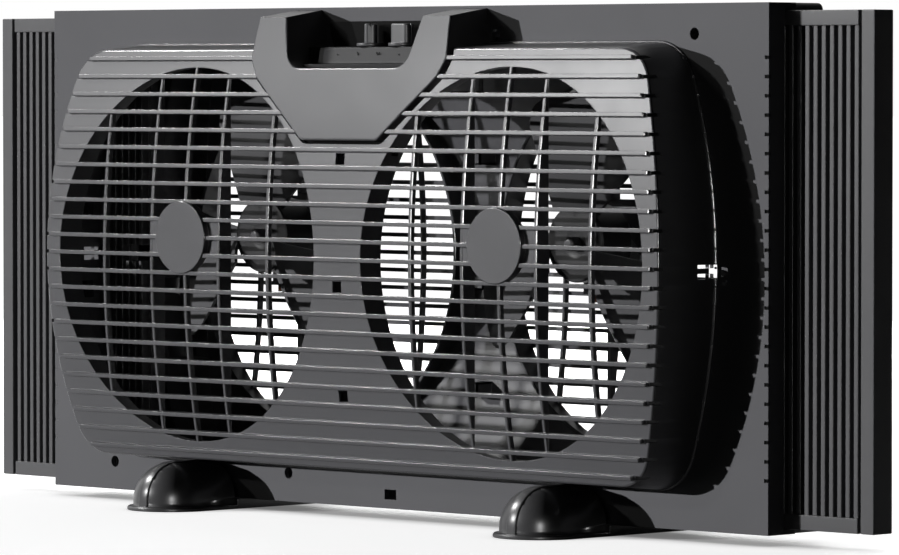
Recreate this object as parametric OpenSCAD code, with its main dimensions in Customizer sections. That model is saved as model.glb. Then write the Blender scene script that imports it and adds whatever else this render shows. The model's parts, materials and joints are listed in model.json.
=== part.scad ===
// Twin reversible window fan: a two-half window frame with a domed bar grille
// on each side, two fans on shaded-pole motors, two sliding expander panels,
// a control pocket with two dials and a pair of clip-on feet.
// Millimetres. X to the right, Y to the back, Z up. The origin is on the
// ground, under the middle of the frame.

/* [Frame] */
// Width of the window frame
frame_w = 610; // [600:1:640]
// Height of the window frame
frame_h = 302; // [298:1:320]
// Depth of the window frame, both halves together
frame_d = 46; // [44:0.5:52]
// Thickness of the frame's walls
frame_wall = 3; // [2.4:0.1:3.4]
// Height of the frame's lower edge above the ground
ground_gap = 6.5; // [6:0.1:9]
// Distance of the fixing holes from the frame's upper and lower edge
fixing_inset = 17.5; // [17:0.1:19]
// Distance of the outer fixing holes from the middle
fixing_outer_x = 248; // [244:1:252]
// Distance of the inner fixing holes from the middle
fixing_inner_x = 89; // [80:1:100]
// Radius of a fixing hole
fixing_r = 3.5; // [2.5:0.1:4]
// Width of the drain hole at the lower edge
drain_w = 10; // [6:0.5:14]
// Height of the drain hole at the lower edge
drain_h = 6; // [4:0.5:8]
// Length of a notch in the side edges
edge_notch_l = 3; // [2:0.5:4]
// Height of a notch in the side edges
edge_notch_h = 2; // [1.5:0.1:3]

/* [Covers] */
// Distance of a cover from the frame's side edges
cover_side_margin = 43; // [39:0.5:45]
// Distance of a cover from the frame's upper and lower edges
cover_edge_margin = 25; // [23:0.5:25.5]
// Depth of a cover from the frame to its deepest point
cover_depth = 45; // [42:0.5:50]
// Radius of the curved sides
cover_side_r = 350; // [320:5:500]
// Radius of the corners
cover_corner_r = 26; // [18:1:34]
// Radius of the dome, about an axis along X
dome_r = 600; // [560:10:900]
// Wall thickness of a cover
cover_wall = 2.8; // [2:0.1:3.4]
// Width of the lip along the frame
lip_w = 4; // [2.5:0.1:5]
// Thickness of the lip along the frame
lip_t = 1.4; // [1:0.1:1.8]
// Length of a latch tongue in the side wall
latch_l = 14; // [10:0.5:18]
// Height of a latch tongue with its slots
latch_h = 8.5; // [7:0.5:12]
// Width of the slot around a latch tongue
latch_slot = 2; // [1.5:0.1:2.5]
// Width of a window in the middle web
web_hole_w = 7.6; // [5:0.1:10]
// Height of a window in the middle web
web_hole_h = 6.8; // [4:0.1:7]

/* [Grilles] */
// Distance between the middles of the two openings
opening_spacing = 269; // [262:1:276]
// Width of the middle web between the two openings
web_w = 40; // [38:0.5:44]
// Least distance of an opening from a cover's upper and lower edge
opening_margin = 11.5; // [10:0.5:13]
// Wall of the ring behind an opening
ring_wall = 2.2; // [1.6:0.1:3]
// Distance of the ring's inner end from the frame
ring_standoff = 27.4; // [24:0.2:30]
// Distance between two bars
bar_pitch = 10.9; // [10.6:0.1:10.9]
// Least distance of the outer bars from a cover's upper and lower edge
bar_margin = 6; // [5:0.1:8]
// Height of a bar
bar_h = 2.4; // [1.8:0.1:3]
// How far a bar stands out of the panel
bar_proud = 2.6; // [2:0.1:3.2]
// Gap from a bar's end to the side of the cover
bar_end_gap = 7; // [5:0.5:10]
// Width of the upright ribs
rib_w = 2.5; // [2:0.1:3.5]
// Depth of the shallow upright ribs
rib_depth = 4; // [3:0.1:5]
// Distance of the outer ribs from the middle of an opening
outer_rib_x = 73.3; // [66:0.1:80]
// Distance of the deep fins from the middle of an opening
fin_x = 30; // [28:0.5:32]
// Distance of the deep fins' straight inner edge from the frame
fin_standoff = 34; // [33.5:0.5:36]
// Diameter of the centre disc
disc_d = 44.5; // [36:0.5:50]
// How far the centre disc stands out of the panel
disc_proud = 3.6; // [3:0.1:4.5]

/* [Control bezel] */
// Width of the bezel at its top
bezel_top_w = 163; // [160:1:166]
// Greatest width of the bezel
bezel_max_w = 168; // [166:1:170]
// Width of the bezel where its flanks start to run in
bezel_hip_w = 156; // [152:1:158]
// Width of the bezel's lower edge
bezel_foot_w = 65.4; // [60:0.2:68]
// Height of the bezel
bezel_h = 74.5; // [72:0.5:76]
// Drop from the frame's top to the bezel's top edge
bezel_drop = 5.5; // [4:0.5:7]
// How far the bezel stands out of the panel
bezel_proud = 3.3; // [3:0.1:4.2]
// Depth of the bezel's skirt behind the deepest point of the panel
bezel_skirt_d = 17; // [12:0.5:18]
// Wall of the bezel
bezel_wall = 2.4; // [2:0.1:3]
// Gap between the bezel and the cover
bezel_gap = 0.8; // [0.4:0.1:1.2]
// Rise of the bezel's ears towards the frame
ear_rise = 4; // [3:0.5:5]
// Width of the pocket's mouth at the top
pocket_top_w = 119; // [112:1:124]
// Width of the pocket's floor
pocket_floor_w = 100; // [94:1:106]
// Depth of the pocket from the bezel's top edge
pocket_h = 31.2; // [29:0.2:33]
// Height of the control deck above the pocket's floor
deck_rise = 12.7; // [12:0.1:13.5]
// Width of the control deck
deck_w = 80; // [76:1:84]
// Depth of the control deck from the frame to the fascia's top edge
deck_d = 17; // [15:0.5:20]
// Thickness of the control deck
deck_t = 3; // [2:0.1:3.5]

/* [Dials] */
// Position of the speed dial to the left of the middle
speed_x = 7; // [4:0.5:10]
// Position of the direction dial to the right of the middle
mode_x = 20; // [18:0.5:26]
// Distance of the dials from the frame
dial_y = 9.5; // [9:0.5:12]
// Diameter of a dial's flange
dial_d = 17; // [14:0.5:18]
// Height of a dial
dial_h = 13.5; // [11:0.5:15]
// Width of a dial's grip
grip_w = 8.6; // [6:0.2:10]
// Radius of a switch spindle
spindle_r = 3; // [2.5:0.1:3.5]
// Width of a switch
switch_w = 20; // [16:0.5:24]
// Height of a switch
switch_h = 17; // [14:0.5:20]

/* [Expander panels] */
// Width of an expander panel
panel_w = 134.7; // [120:0.1:136]
// Thickness of an expander panel
panel_t = 16.3; // [14:0.1:17]
// Gap between the top of an expander panel and the frame
panel_top_gap = 1.2; // [0.6:0.1:2]
// Distance of the panel from the frame's front face
panel_inset = 13.8; // [13:0.1:15]
// How far a panel stands out at rest
panel_out = 66.7; // [64:0.1:67]
// Width of the outer bar
panel_bar_w = 9.7; // [8:0.1:12]
// Height of the upper and lower rails
panel_rail_h = 8.7; // [6:0.1:12]
// Distance between two ribs of the panel
panel_rib_pitch = 6.15; // [5.6:0.05:7]
// Width of a rib of the panel
panel_rib_w = 3.3; // [2.6:0.1:4]
// Thickness of the panel's skin
panel_skin = 2; // [1.6:0.1:3]

/* [Feet] */
// Distance between the two feet
foot_spacing = 316; // [290:1:340]
// Diameter of a foot's domed nose
foot_nose_d = 47.2; // [44:0.2:50]
// Width of the rim around a foot
foot_rim_w = 3.7; // [2:0.1:5]
// Thickness of the rim around a foot
foot_rim_t = 2.6; // [2:0.1:4]
// Distance of a nose's middle from the frame
foot_nose_y = 34; // [32:0.5:38]
// Height of a nose
foot_h = 29; // [28:0.1:30]
// Wall of a foot
foot_wall = 2.6; // [2:0.1:3.5]
// Width of the raised band over a nose
foot_band_w = 7.5; // [5:0.1:10]

/* [Fans] */
// Height of the fan axis above the middle of the frame
fan_rise = 10.9; // [8:0.1:12]
// Distance of the blade tips from the rim of an opening
tip_margin = 27; // [25.5:0.5:31]
// Number of blades
blade_count = 3; // [3:1:4]
// Angle that a blade covers
blade_sweep = 53; // [46:1:58]
// Thickness of a blade
blade_t = 1.8; // [1.4:0.1:2.4]
// Radius of a fan's hub
hub_r = 23; // [20:0.5:24]
// Depth of a fan's hub
hub_d = 24; // [22:0.5:26]
// Distance of the hub's front from the middle plane, to the front
hub_front = 3; // [2:0.2:4]
// Radius of the fan nut
nut_r = 4.5; // [4.2:0.1:6]
// Length of the fan nut
nut_l = 6.5; // [5:0.1:8]

/* [Motors] */
// Radius of a motor shaft
shaft_r = 3; // [2.5:0.1:3.2]
// Radius of a rotor
rotor_r = 16; // [14:0.2:17]
// Air gap between rotor and stator
air_gap = 0.5; // [0.4:0.05:0.8]
// Thickness of the stator's stack
stack_t = 16; // [14:0.5:17]
// Width of the stator
stator_w = 52; // [50:0.5:54]
// Height of the stator above the axis
stator_top = 21; // [20:0.5:23]
// Drop of the stator's lower edge below the axis
stator_drop = 31; // [30:0.5:33]
// Height of the stator's coil leg
leg_h = 6; // [5:0.2:7]
// Width of the coil
coil_w = 30; // [26:0.5:32]
// Build-up of the coil's winding
coil_t = 3.6; // [3:0.1:3.8]
// Thickness of the bearing brackets
bracket_t = 5; // [4:0.1:5.5]
// Gap between the stack and a bracket
bracket_gap = 1.5; // [1:0.1:2]
// Radius of a bearing bush
bush_r = 5.5; // [5:0.1:6]

/* [Fasteners] */
// Radius of a frame screw
screw_r = 1.75; // [1.5:0.05:2]
// Radius of a screw head
head_r = 3.5; // [3:0.1:3.8]
// Height of a screw head
head_h = 2.4; // [2:0.1:3]
// Radius of a screw boss
boss_r = 6; // [5:0.1:6.4]

/* [Cord inlet] */
// Radius of the cord inlet's bore
inlet_r = 3.7; // [3:0.1:4.5]
// Distance of the cord inlet from the middle
inlet_x = 120; // [110:1:124]

/* [Fits] */
// Clearance of a sliding panel in its channel
slide_gap = 0.3; // [0.2:0.05:0.5]
// Clearance of a piece that is put in place
seat_gap = 0.3; // [0.2:0.05:0.4]
// Radial clearance of a running shaft
run_gap = 0.05; // [0.03:0.01:0.1]
// Radial clearance of a screw in its hole
screw_gap = 0.05; // [0.03:0.01:0.1]

/* [Hidden] */

$fn = 64;
eps = 0.01;

charcoal = "#3a3b3d";
black = "#1c1c1e";
graphite = "#2b2c2e";
steel = "#a9adb1";
copper = "#a4552c";
brass = "#b08d4a";

cover_w = frame_w - 2 * cover_side_margin;
cover_h = frame_h - 2 * cover_edge_margin;
opening_r = min(cover_h / 2 - opening_margin, (opening_spacing - web_w) / 2);
bar_steps = floor((cover_h / 2 - bar_margin) / bar_pitch);
tip_r = opening_r - tip_margin;
plate_y = frame_d / 2;
mid_z = ground_gap + frame_h / 2;
top_z = ground_gap + frame_h;
opening_x = opening_spacing / 2;
panel_front = plate_y + cover_depth;
dome_y = dome_r - panel_front;
ledge = 1.2;
fan_z = mid_z + fan_rise;
channel_front = plate_y - panel_inset + slide_gap;
channel_rear = panel_t - (plate_y - panel_inset) + slide_gap;
floor_z = ground_gap + frame_wall;
panel_h = frame_h - 2 * frame_wall - panel_top_gap - slide_gap;
arc_steps = 8;

// ---- outlines -------------------------------------------------------------

function unit(v) = v / norm(v);
function across(u, v) = u[0] * v[1] - u[1] * v[0];
function turned(a) = a > 180 ? a - 360 : a < -180 ? a + 360 : a;

// Points of an arc about c, from angle a0 to a1.
function arc(c, r, a0, a1, n = arc_steps) =
  [for (i = [0:n]) c + r * [cos(a0 + (a1 - a0) * i / n), sin(a0 + (a1 - a0) * i / n)]];

// The anticlockwise outline p, drawn in by d.
function inset(p, d) =
  [for (i = [0:len(p) - 1])
    let (q = p[i], u = unit(p[(i + len(p) - 1) % len(p)] - q), v = unit(p[(i + 1) % len(p)] - q),
      half = acos(u * v) / 2, outward = across(-u, v) < 0 ? -1 : 1)
    q + outward * unit(u + v) * d / sin(half)];

// The outline p with each corner rounded by its radius in r.
function rounded(p, r, n = arc_steps) =
  [for (i = [0:len(p) - 1])
    let (q = p[i], u = unit(p[(i + len(p) - 1) % len(p)] - q), v = unit(p[(i + 1) % len(p)] - q),
      half = acos(u * v) / 2)
    each r[i] <= 0 ? [q] :
      let (c = q + unit(u + v) * r[i] / sin(half), a = q + u * r[i] / tan(half) - c,
        b = q + v * r[i] / tan(half) - c, a0 = atan2(a[1], a[0]),
        turn = turned(atan2(b[1], b[0]) - a0))
      arc(c, r[i], a0, a0 + turn, n)];

// A cover's outline about the middle of the frame, drawn in by d: flat top and
// bottom, bowed sides and round corners that run into each other.
side_c = cover_w / 2 - cover_side_r;
corner_z = cover_h / 2 - cover_corner_r;
corner_a = asin(corner_z / (cover_side_r - cover_corner_r));
corner_x = side_c + sqrt(pow(cover_side_r - cover_corner_r, 2) - pow(corner_z, 2));
side_steps = 12;

function side_points(d) =
  let (p = arc([side_c, 0], cover_side_r - d, -corner_a, corner_a, side_steps))
  [for (i = [1:side_steps - 1]) p[i]];

function half_cover(d) = concat(
  arc([corner_x, -corner_z], cover_corner_r - d, -90, -corner_a),
  side_points(d),
  arc([corner_x, corner_z], cover_corner_r - d, corner_a, 90));

function cover_outline(d) = concat(half_cover(d), -half_cover(d));

// Half the width of a cover at a height above the middle.
function cover_half_w(z) = abs(z) <= corner_z + cover_corner_r * sin(corner_a)
  ? side_c + sqrt(pow(cover_side_r, 2) - z * z)
  : corner_x + sqrt(max(0, pow(cover_corner_r, 2) - pow(abs(z) - corner_z, 2)));

// Depth of the domed panel's front at a height above the middle.
function dome_front(z) = dome_y - sqrt(dome_r * dome_r - z * z);

// Distance of the domed panel's inner face from the middle plane at that height.
function dome_back(z) = sqrt(pow(dome_r - cover_wall, 2) - z * z) - dome_y;

bezel_top_z = frame_h / 2 - bezel_drop;
bezel_foot_z = bezel_top_z - bezel_h;
bezel_hip_z = bezel_foot_z + 38;
bezel_wide_z = bezel_foot_z + 49;

// Corners of the bezel about the middle of the frame, with its ears run up to
// the frame's side of their slope.
bezel_corners = [[-bezel_foot_w / 2, bezel_foot_z], [bezel_foot_w / 2, bezel_foot_z],
  [bezel_hip_w / 2, bezel_hip_z], [bezel_max_w / 2, bezel_wide_z],
  [bezel_top_w / 2, bezel_top_z + ear_rise], [-bezel_top_w / 2, bezel_top_z + ear_rise],
  [-bezel_max_w / 2, bezel_wide_z], [-bezel_hip_w / 2, bezel_hip_z]];
bezel_radii = [6, 6, 12, 12, 0, 0, 12, 12];

function bezel_outline(d) =
  rounded(inset(bezel_corners, d), [for (r = bezel_radii) r > 0 ? r - d : 0]);

pocket_floor_z = bezel_top_z - pocket_h;
pocket_mouth_z = bezel_top_z + ear_rise + 2;
pocket_corners = [[-pocket_floor_w / 2, pocket_floor_z], [pocket_floor_w / 2, pocket_floor_z],
  [pocket_top_w / 2, pocket_mouth_z], [-pocket_top_w / 2, pocket_mouth_z]];
pocket_r = 13;

function pocket_outline(d) =
  rounded(inset(pocket_corners, d), [pocket_r - d, pocket_r - d, 0, 0]);

// ---- shared shapes --------------------------------------------------------

// Runs an outline in X and Z, about the middle of the frame, from y0 to y1.
module along_y(y0, y1) {
  translate([0, y1, mid_z]) rotate([90, 0, 0]) linear_extrude(height = y1 - y0) children();
}

// A box from one corner to the other.
module span(a, b) {
  translate(a) cube(b - a);
}

// A round bar along Y.
module rod_y(x, z, r, y0, y1) {
  translate([x, y1, z]) rotate([90, 0, 0]) cylinder(r = r, h = y1 - y0);
}

// A tube along Y.
module tube_y(x, z, r_in, r_out, y0, y1) {
  difference() {
    rod_y(x, z, r_out, y0, y1);
    rod_y(x, z, r_in, y0 - 1, y1 + 1);
  }
}

// A round bar along Z.
module rod_z(x, y, r, z0, z1) {
  translate([x, y, z0]) cylinder(r = r, h = z1 - z0);
}

// The solid behind a dome of radius r, wide enough for any piece.
module dome(r) {
  translate([-frame_w / 2, dome_y, mid_z]) rotate([0, 90, 0])
    cylinder(r = r, h = frame_w, $fn = 360);
}

// Both sides of the part.
module both() {
  for (s = [-1, 1]) scale_x(s) children();
}

module scale_x(s) {
  if (s < 0) mirror([1, 0, 0]) children();
  else children();
}

// A screw along Z with its head at the lower end.
module screw_z(x, y, z, length) {
  rod_z(x, y, head_r, z, z + head_h);
  rod_z(x, y, screw_r, z + head_h - eps, z + head_h + length);
}

// ---- frame ----------------------------------------------------------------

frame_screw_x = [60, 205];
frame_screw_z = [12.5, frame_h - 12.5];
frame_screw_seat = 6;
frame_screw_l = 28;
guide_x = 226;
guide_t = 2;
guide_h = 5.5;
foot_screw_y = 12;
foot_boss_h = 9;
foot_screw_l = 9;

module frame_screw_places() {
  for (x = frame_screw_x, z = frame_screw_z) both() translate([x, 0, ground_gap + z]) children();
}

// The shell of one frame half, seen from its face: open in the middle, with a
// channel for the expander panels through both sides.
module frame_shell(channel) {
  inner_x = frame_w / 2 - frame_wall;
  difference() {
    span([-frame_w / 2, -plate_y, ground_gap], [frame_w / 2, 0, top_z]);
    span([-inner_x, frame_wall - plate_y, floor_z], [inner_x, 1, top_z - frame_wall]);
    along_y(-plate_y - 1, 1) polygon(cover_outline(cover_wall + ledge));
    both() span([inner_x - 1, -channel, floor_z],
      [frame_w / 2 + 1, 1, floor_z + panel_h + 2 * slide_gap]);
  }
  both() for (z = [floor_z - eps, top_z - frame_wall - guide_h])
    span([guide_x, -channel - guide_t, z], [inner_x + eps, -channel, z + guide_h + eps]);
}

// Holes, drain and edge notches in a frame half's face.
module face_cuts(turn) {
  low = fixing_inset;
  for (p = [[fixing_outer_x, frame_h - low], [-fixing_outer_x, low],
      [-fixing_inner_x, low], [fixing_inner_x, frame_h - low]])
    rod_y(turn * p[0], ground_gap + p[1], fixing_r, -plate_y - 1, frame_wall - plate_y + 1);
  span([-drain_w / 2, -plate_y - 1, floor_z + 2.5],
    [drain_w / 2, frame_wall - plate_y + 1, floor_z + 2.5 + drain_h]);
  both() for (k = [-bar_steps:bar_steps])
    translate([frame_w / 2 - edge_notch_l, -plate_y - 1, mid_z + k * bar_pitch - edge_notch_h / 2])
      cube([edge_notch_l + 1, 3, edge_notch_h]);
}

// A boss for a foot screw, standing on the frame's floor.
module foot_boss() {
  both() rod_z(foot_spacing / 2, -foot_screw_y, boss_r - 1, floor_z - eps, floor_z + foot_boss_h);
}

module foot_screw_hole() {
  both() rod_z(foot_spacing / 2, -foot_screw_y, screw_r + screw_gap, ground_gap - 1,
    ground_gap + foot_screw_l + 1);
}

module front_frame() {
  color(charcoal) difference() {
    union() {
      frame_shell(channel_front);
      frame_screw_places() rod_y(0, 0, boss_r, frame_wall - plate_y - eps, 0);
      foot_boss();
    }
    face_cuts(1);
    foot_screw_hole();
    frame_screw_places()
      rod_y(0, 0, screw_r + screw_gap, plate_y - frame_screw_seat - frame_screw_l - 1, 1);
  }
}

module rear_frame() {
  color(charcoal) mirror([0, 1, 0]) difference() {
    union() {
      frame_shell(channel_rear);
      frame_screw_places() rod_y(0, 0, boss_r, frame_wall - plate_y - eps, 0);
      foot_boss();
    }
    face_cuts(-1);
    foot_screw_hole();
    frame_screw_places() {
      rod_y(0, 0, screw_r + screw_gap, -plate_y - 1, 1);
      rod_y(0, 0, head_r + seat_gap, -plate_y - 1, -plate_y + frame_screw_seat);
    }
    rod_y(inlet_x, inlet_z, inlet_r + inlet_wall + screw_gap, -plate_y - 1, frame_wall - plate_y + 1);
  }
}

module frame_screws() {
  color(steel) frame_screw_places() {
    rod_y(0, 0, head_r, plate_y - frame_screw_seat, plate_y - frame_screw_seat + head_h);
    rod_y(0, 0, screw_r, plate_y - frame_screw_seat - frame_screw_l,
      plate_y - frame_screw_seat + eps);
  }
}

// ---- covers ---------------------------------------------------------------

fin_end = plate_y + fin_standoff;
ring_end = plate_y + ring_standoff;
bar_root = 0.6;
bar_chamfer = 0.7;
web_hole_rows = [5, -2, -8];
web_hole_d = 8;
ring_sink = 1;
disc_sink = 1.5;
latch_reach = 6;
latch_drop = 1;
latch_seat = 0.6;

// The domed shell of a cover with its walls and its lip.
module cover_shell() {
  difference() {
    intersection() {
      along_y(-panel_front - 1, -plate_y) polygon(cover_outline(0));
      dome(dome_r);
    }
    intersection() {
      along_y(-panel_front - 1, 1 - plate_y) polygon(cover_outline(cover_wall));
      dome(dome_r - cover_wall);
    }
  }
  difference() {
    along_y(-plate_y - lip_t, -plate_y) polygon(cover_outline(-lip_w));
    along_y(-plate_y - lip_t - 1, 1 - plate_y) polygon(cover_outline(cover_wall));
  }
}

// One bar at a height above the middle, out to both sides of the cover.
module bar(z) {
  w = cover_half_w(z) - bar_end_gap;
  translate([-w, dome_front(z), mid_z + z]) rotate([90, 0, 90]) linear_extrude(height = 2 * w)
    polygon([[bar_root, -bar_h / 2], [bar_chamfer - bar_proud, -bar_h / 2],
      [-bar_proud, bar_chamfer - bar_h / 2], [-bar_proud, bar_h / 2 - bar_chamfer],
      [bar_chamfer - bar_proud, bar_h / 2], [bar_root, bar_h / 2]]);
}

// The upright ribs, deep fins, web plate and centre disc of one opening.
module rib_set() {
  reach = opening_r + ring_wall / 2;
  intersection() {
    rod_y(opening_x, mid_z, reach, -panel_front - 1, -fin_end + 1);
    difference() {
      dome(dome_r);
      dome(dome_r - rib_depth);
    }
    union() {
      for (x = [-outer_rib_x, 0, outer_rib_x])
        span([opening_x + x - rib_w / 2, -panel_front - 1, mid_z - reach],
          [opening_x + x + rib_w / 2, -fin_end + 1, mid_z + reach]);
      span([opening_x - fin_x, -panel_front - 1, mid_z],
        [opening_x + fin_x, -fin_end + 1, mid_z + 2 * bar_pitch]);
    }
  }
  intersection() {
    dome(dome_r);
    for (x = [-fin_x, fin_x])
      span([opening_x + x - rib_w / 2, -panel_front - 1, mid_z - fin_reach],
        [opening_x + x + rib_w / 2, -fin_end, mid_z + fin_reach]);
  }
  rod_y(opening_x, mid_z + bar_pitch, disc_d / 2, -panel_front - disc_proud, disc_sink - panel_front);
}

fin_reach = sqrt(pow(opening_r + ring_wall / 2, 2) - pow(fin_x + rib_w / 2, 2));

// The U-shaped slot that frees a latch tongue in each side wall.
module latch_cuts() {
  x0 = cover_w / 2 - latch_reach;
  x1 = cover_w / 2 + 1;
  y0 = -plate_y - latch_l;
  y1 = -plate_y - lip_t - latch_seat;
  z0 = mid_z - latch_h / 2 - latch_drop;
  both() {
    for (z = [z0, z0 + latch_h - latch_slot])
      span([x0, y0, z], [x1, y1, z + latch_slot]);
    span([x0, y1 - latch_slot, z0], [x1, y1, z0 + latch_h]);
  }
}

module cover_body() {
  difference() {
    union() {
      difference() {
        cover_shell();
        both() rod_y(opening_x, mid_z, opening_r, -panel_front - 1, -plate_y - lip_t);
      }
      intersection() {
        both() tube_y(opening_x, mid_z, opening_r, opening_r + ring_wall, -panel_front - 1, -ring_end);
        dome(dome_r - ring_sink);
      }
      both() rib_set();
      for (k = [-bar_steps:bar_steps]) bar(k * bar_pitch);
    }
    latch_cuts();
    for (k = web_hole_rows)
      span([-web_hole_w / 2, -panel_front - 5, mid_z + (k + 0.5) * bar_pitch - web_hole_h / 2],
        [web_hole_w / 2, web_hole_d - panel_front, mid_z + (k + 0.5) * bar_pitch + web_hole_h / 2]);
  }
}

module front_cover() {
  color(charcoal) difference() {
    cover_body();
    along_y(-panel_front - 5, 1 - plate_y) polygon(bezel_outline(-bezel_gap));
  }
}

// The rear cover is the front one turned about, closed at the top and with a
// seat for each motor between its deep fins.
module rear_cover() {
  color(charcoal) mirror([0, 1, 0]) difference() {
    union() {
      cover_body();
      both() span([opening_x - fin_x, -fin_end - seat_t, fan_z - seat_h / 2],
        [opening_x + fin_x, -fin_end, fan_z + seat_h / 2]);
    }
    both() motor_screw_places()
      rod_y(0, 0, screw_r + screw_gap, -fin_end - seat_t - 1, 1 - fin_end);
  }
}

// ---- control pocket -------------------------------------------------------

deck_z = pocket_floor_z + deck_rise;
fascia_y = -plate_y - deck_d;

// What lies above the slope of the bezel's ears, lowered by d.
module above_ears(d) {
  y_front = -panel_front + pow(bezel_top_z, 2) / (2 * dome_r);
  tilt = atan2(ear_rise, -plate_y - y_front);
  translate([-bezel_max_w, y_front, mid_z + bezel_top_z - d]) rotate([tilt, 0, 0])
    translate([0, -cover_depth, 0]) cube([2 * bezel_max_w, 3 * cover_depth, cover_depth]);
}

// The space inside the bezel's outline, drawn in by d.
module bezel_space(d, y1) {
  difference() {
    intersection() {
      along_y(-panel_front - 5, y1) polygon(bezel_outline(d));
      dome(dome_r + bezel_proud - d);
    }
    above_ears(d);
  }
}

module control_bezel() {
  skirt_y = bezel_skirt_d - panel_front;
  color(graphite) difference() {
    union() {
      difference() {
        bezel_space(0, -plate_y);
        bezel_space(bezel_wall, 1 - plate_y);
      }
      intersection() {
        along_y(-panel_front - 5, -plate_y) polygon(pocket_outline(-bezel_wall));
        bezel_space(0, -plate_y);
      }
    }
    along_y(-panel_front - 6, 1 - plate_y) polygon(pocket_outline(0));
    span([-bezel_max_w, skirt_y, 0], [bezel_max_w, 1 - plate_y, mid_z + bezel_hip_z]);
    span([-deck_w / 2 - 2, fascia_y, mid_z + pocket_floor_z - bezel_wall - 1],
      [deck_w / 2 + 2, 1 - plate_y, mid_z + pocket_floor_z + 2]);
  }
}

// The stepped deck: a sloped fascia with a flat top that carries the dials.
module control_deck() {
  low = pocket_floor_z + seat_gap;
  y_front = fascia_y - 3.5;
  color(graphite) difference() {
    intersection() {
      along_y(-panel_front, -plate_y) polygon(pocket_outline(seat_gap));
      translate([-deck_w, 0, mid_z]) rotate([90, 0, 90]) linear_extrude(height = 2 * deck_w)
        polygon([[y_front - 8, low], [y_front + deck_t, low],
          [fascia_y + deck_t, deck_z - deck_t], [-plate_y - seat_gap, deck_z - deck_t],
          [-plate_y - seat_gap, deck_z], [fascia_y, deck_z], [y_front, low + 2], [y_front - 8, low + 2]]);
    }
    for (x = [-speed_x, mode_x])
      rod_z(x, -plate_y - dial_y, spindle_r + run_gap, mid_z + deck_z - deck_t - 1, mid_z + deck_z + 1);
  }
}

flange_t = 2;
knob_bore = 7;
spindle_top = mid_z + deck_z + seat_gap + knob_bore;

// A dial: a round flange with an upright two-sided grip across it.
module dial(x, turn) {
  z0 = mid_z + deck_z + seat_gap;
  translate([x, -plate_y - dial_y, z0]) rotate([0, 0, turn]) difference() {
    union() {
      cylinder(d = dial_d, h = flange_t);
      translate([0, dial_d / 2 - 1, 0]) rotate([90, 0, 0]) linear_extrude(height = dial_d - 2)
        polygon([[-grip_w / 2, 1], [grip_w / 2, 1], [grip_w / 2 - 0.8, dial_h - 1.5],
          [grip_w / 2 - 2.4, dial_h], [2.4 - grip_w / 2, dial_h], [0.8 - grip_w / 2, dial_h - 1.5]]);
    }
    translate([0, 0, -1]) cylinder(r = spindle_r + run_gap, h = knob_bore + 1.5);
  }
}

module speed_knob() {
  color(black) dial(-speed_x, 0);
}

module mode_knob() {
  color(black) dial(mode_x, 90);
}

module spindle(x) {
  rod_z(x, -plate_y - dial_y, spindle_r, mid_z + deck_z - deck_t - switch_h + 4, spindle_top);
}

module speed_spindle() {
  color(steel) spindle(-speed_x);
}

module mode_spindle() {
  color(steel) spindle(mode_x);
}

// A rotary switch under the deck, with its terminals below.
module rotary_switch(x) {
  z1 = mid_z + deck_z - deck_t - seat_gap / 3;
  y = -plate_y - dial_y;
  color(black) difference() {
    union() {
      span([x - switch_w / 2, fascia_y + deck_t + seat_gap, z1 - switch_h],
        [x + switch_w / 2, -plate_y - 1, z1]);
      for (s = [-1, 0, 1])
        span([x + 5 * s - 0.8, y - 2, z1 - switch_h - 5], [x + 5 * s + 0.8, y + 2, z1 - switch_h + eps]);
    }
    rod_z(x, y, spindle_r + run_gap, z1 - switch_h + 3, z1 + 1);
  }
}

module speed_switch() {
  rotary_switch(-speed_x);
}

module mode_switch() {
  rotary_switch(mode_x);
}

// ---- expander panels ------------------------------------------------------

panel_x1 = frame_w / 2 + panel_out;
panel_x0 = panel_x1 - panel_w;
panel_y0 = panel_inset - plate_y;
panel_z0 = floor_z + slide_gap;
rib_inset = 1.2;
bar_slot = 4.2;

// A panel: outer bar, two rails and a ribbed skin between them.
module expander() {
  z1 = panel_z0 + panel_h - slide_gap;
  y1 = panel_y0 + panel_t;
  skin_y = (panel_y0 + y1 - panel_skin) / 2;
  span([panel_x1 - panel_bar_w, panel_y0, panel_z0], [panel_x1, y1, z1]);
  for (z = [panel_z0, z1 - panel_rail_h])
    span([panel_x0, panel_y0, z], [panel_x1 - eps, y1, z + panel_rail_h]);
  span([panel_x0, skin_y, panel_z0 + 1], [panel_x1 - 1, skin_y + panel_skin, z1 - 1]);
  x_last = panel_x1 - panel_bar_w - bar_slot - panel_rib_w;
  for (x = [x_last:-panel_rib_pitch:panel_x0 + 1])
    span([x, panel_y0 + rib_inset, panel_z0 + panel_rail_h - 1],
      [x + panel_rib_w, y1 - rib_inset, z1 - panel_rail_h + 1]);
}

module left_expander() {
  color(graphite) scale_x(-1) expander();
}

module right_expander() {
  color(graphite) expander();
}

// ---- feet -----------------------------------------------------------------

nose_r = foot_nose_d / 2;
nose_z = foot_h - nose_r;
barrel_end = plate_y + lip_t + 1.2;
band_proud = 0.6;

// The round form of a foot, drawn in by d: a nose with a barrel behind it.
module nose(d) {
  y = -plate_y - foot_nose_y;
  intersection() {
    union() {
      translate([0, y, nose_z]) sphere(r = nose_r - d);
      rod_y(0, nose_z, nose_r - d, y, -barrel_end);
      span([d - nose_r, y, -1], [nose_r - d, -barrel_end, nose_z]);
      rod_z(0, y, nose_r - d, -1, nose_z);
    }
    span([-nose_r - 1, y - nose_r - 1, 0], [nose_r + 1, -barrel_end, foot_h]);
  }
}

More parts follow.
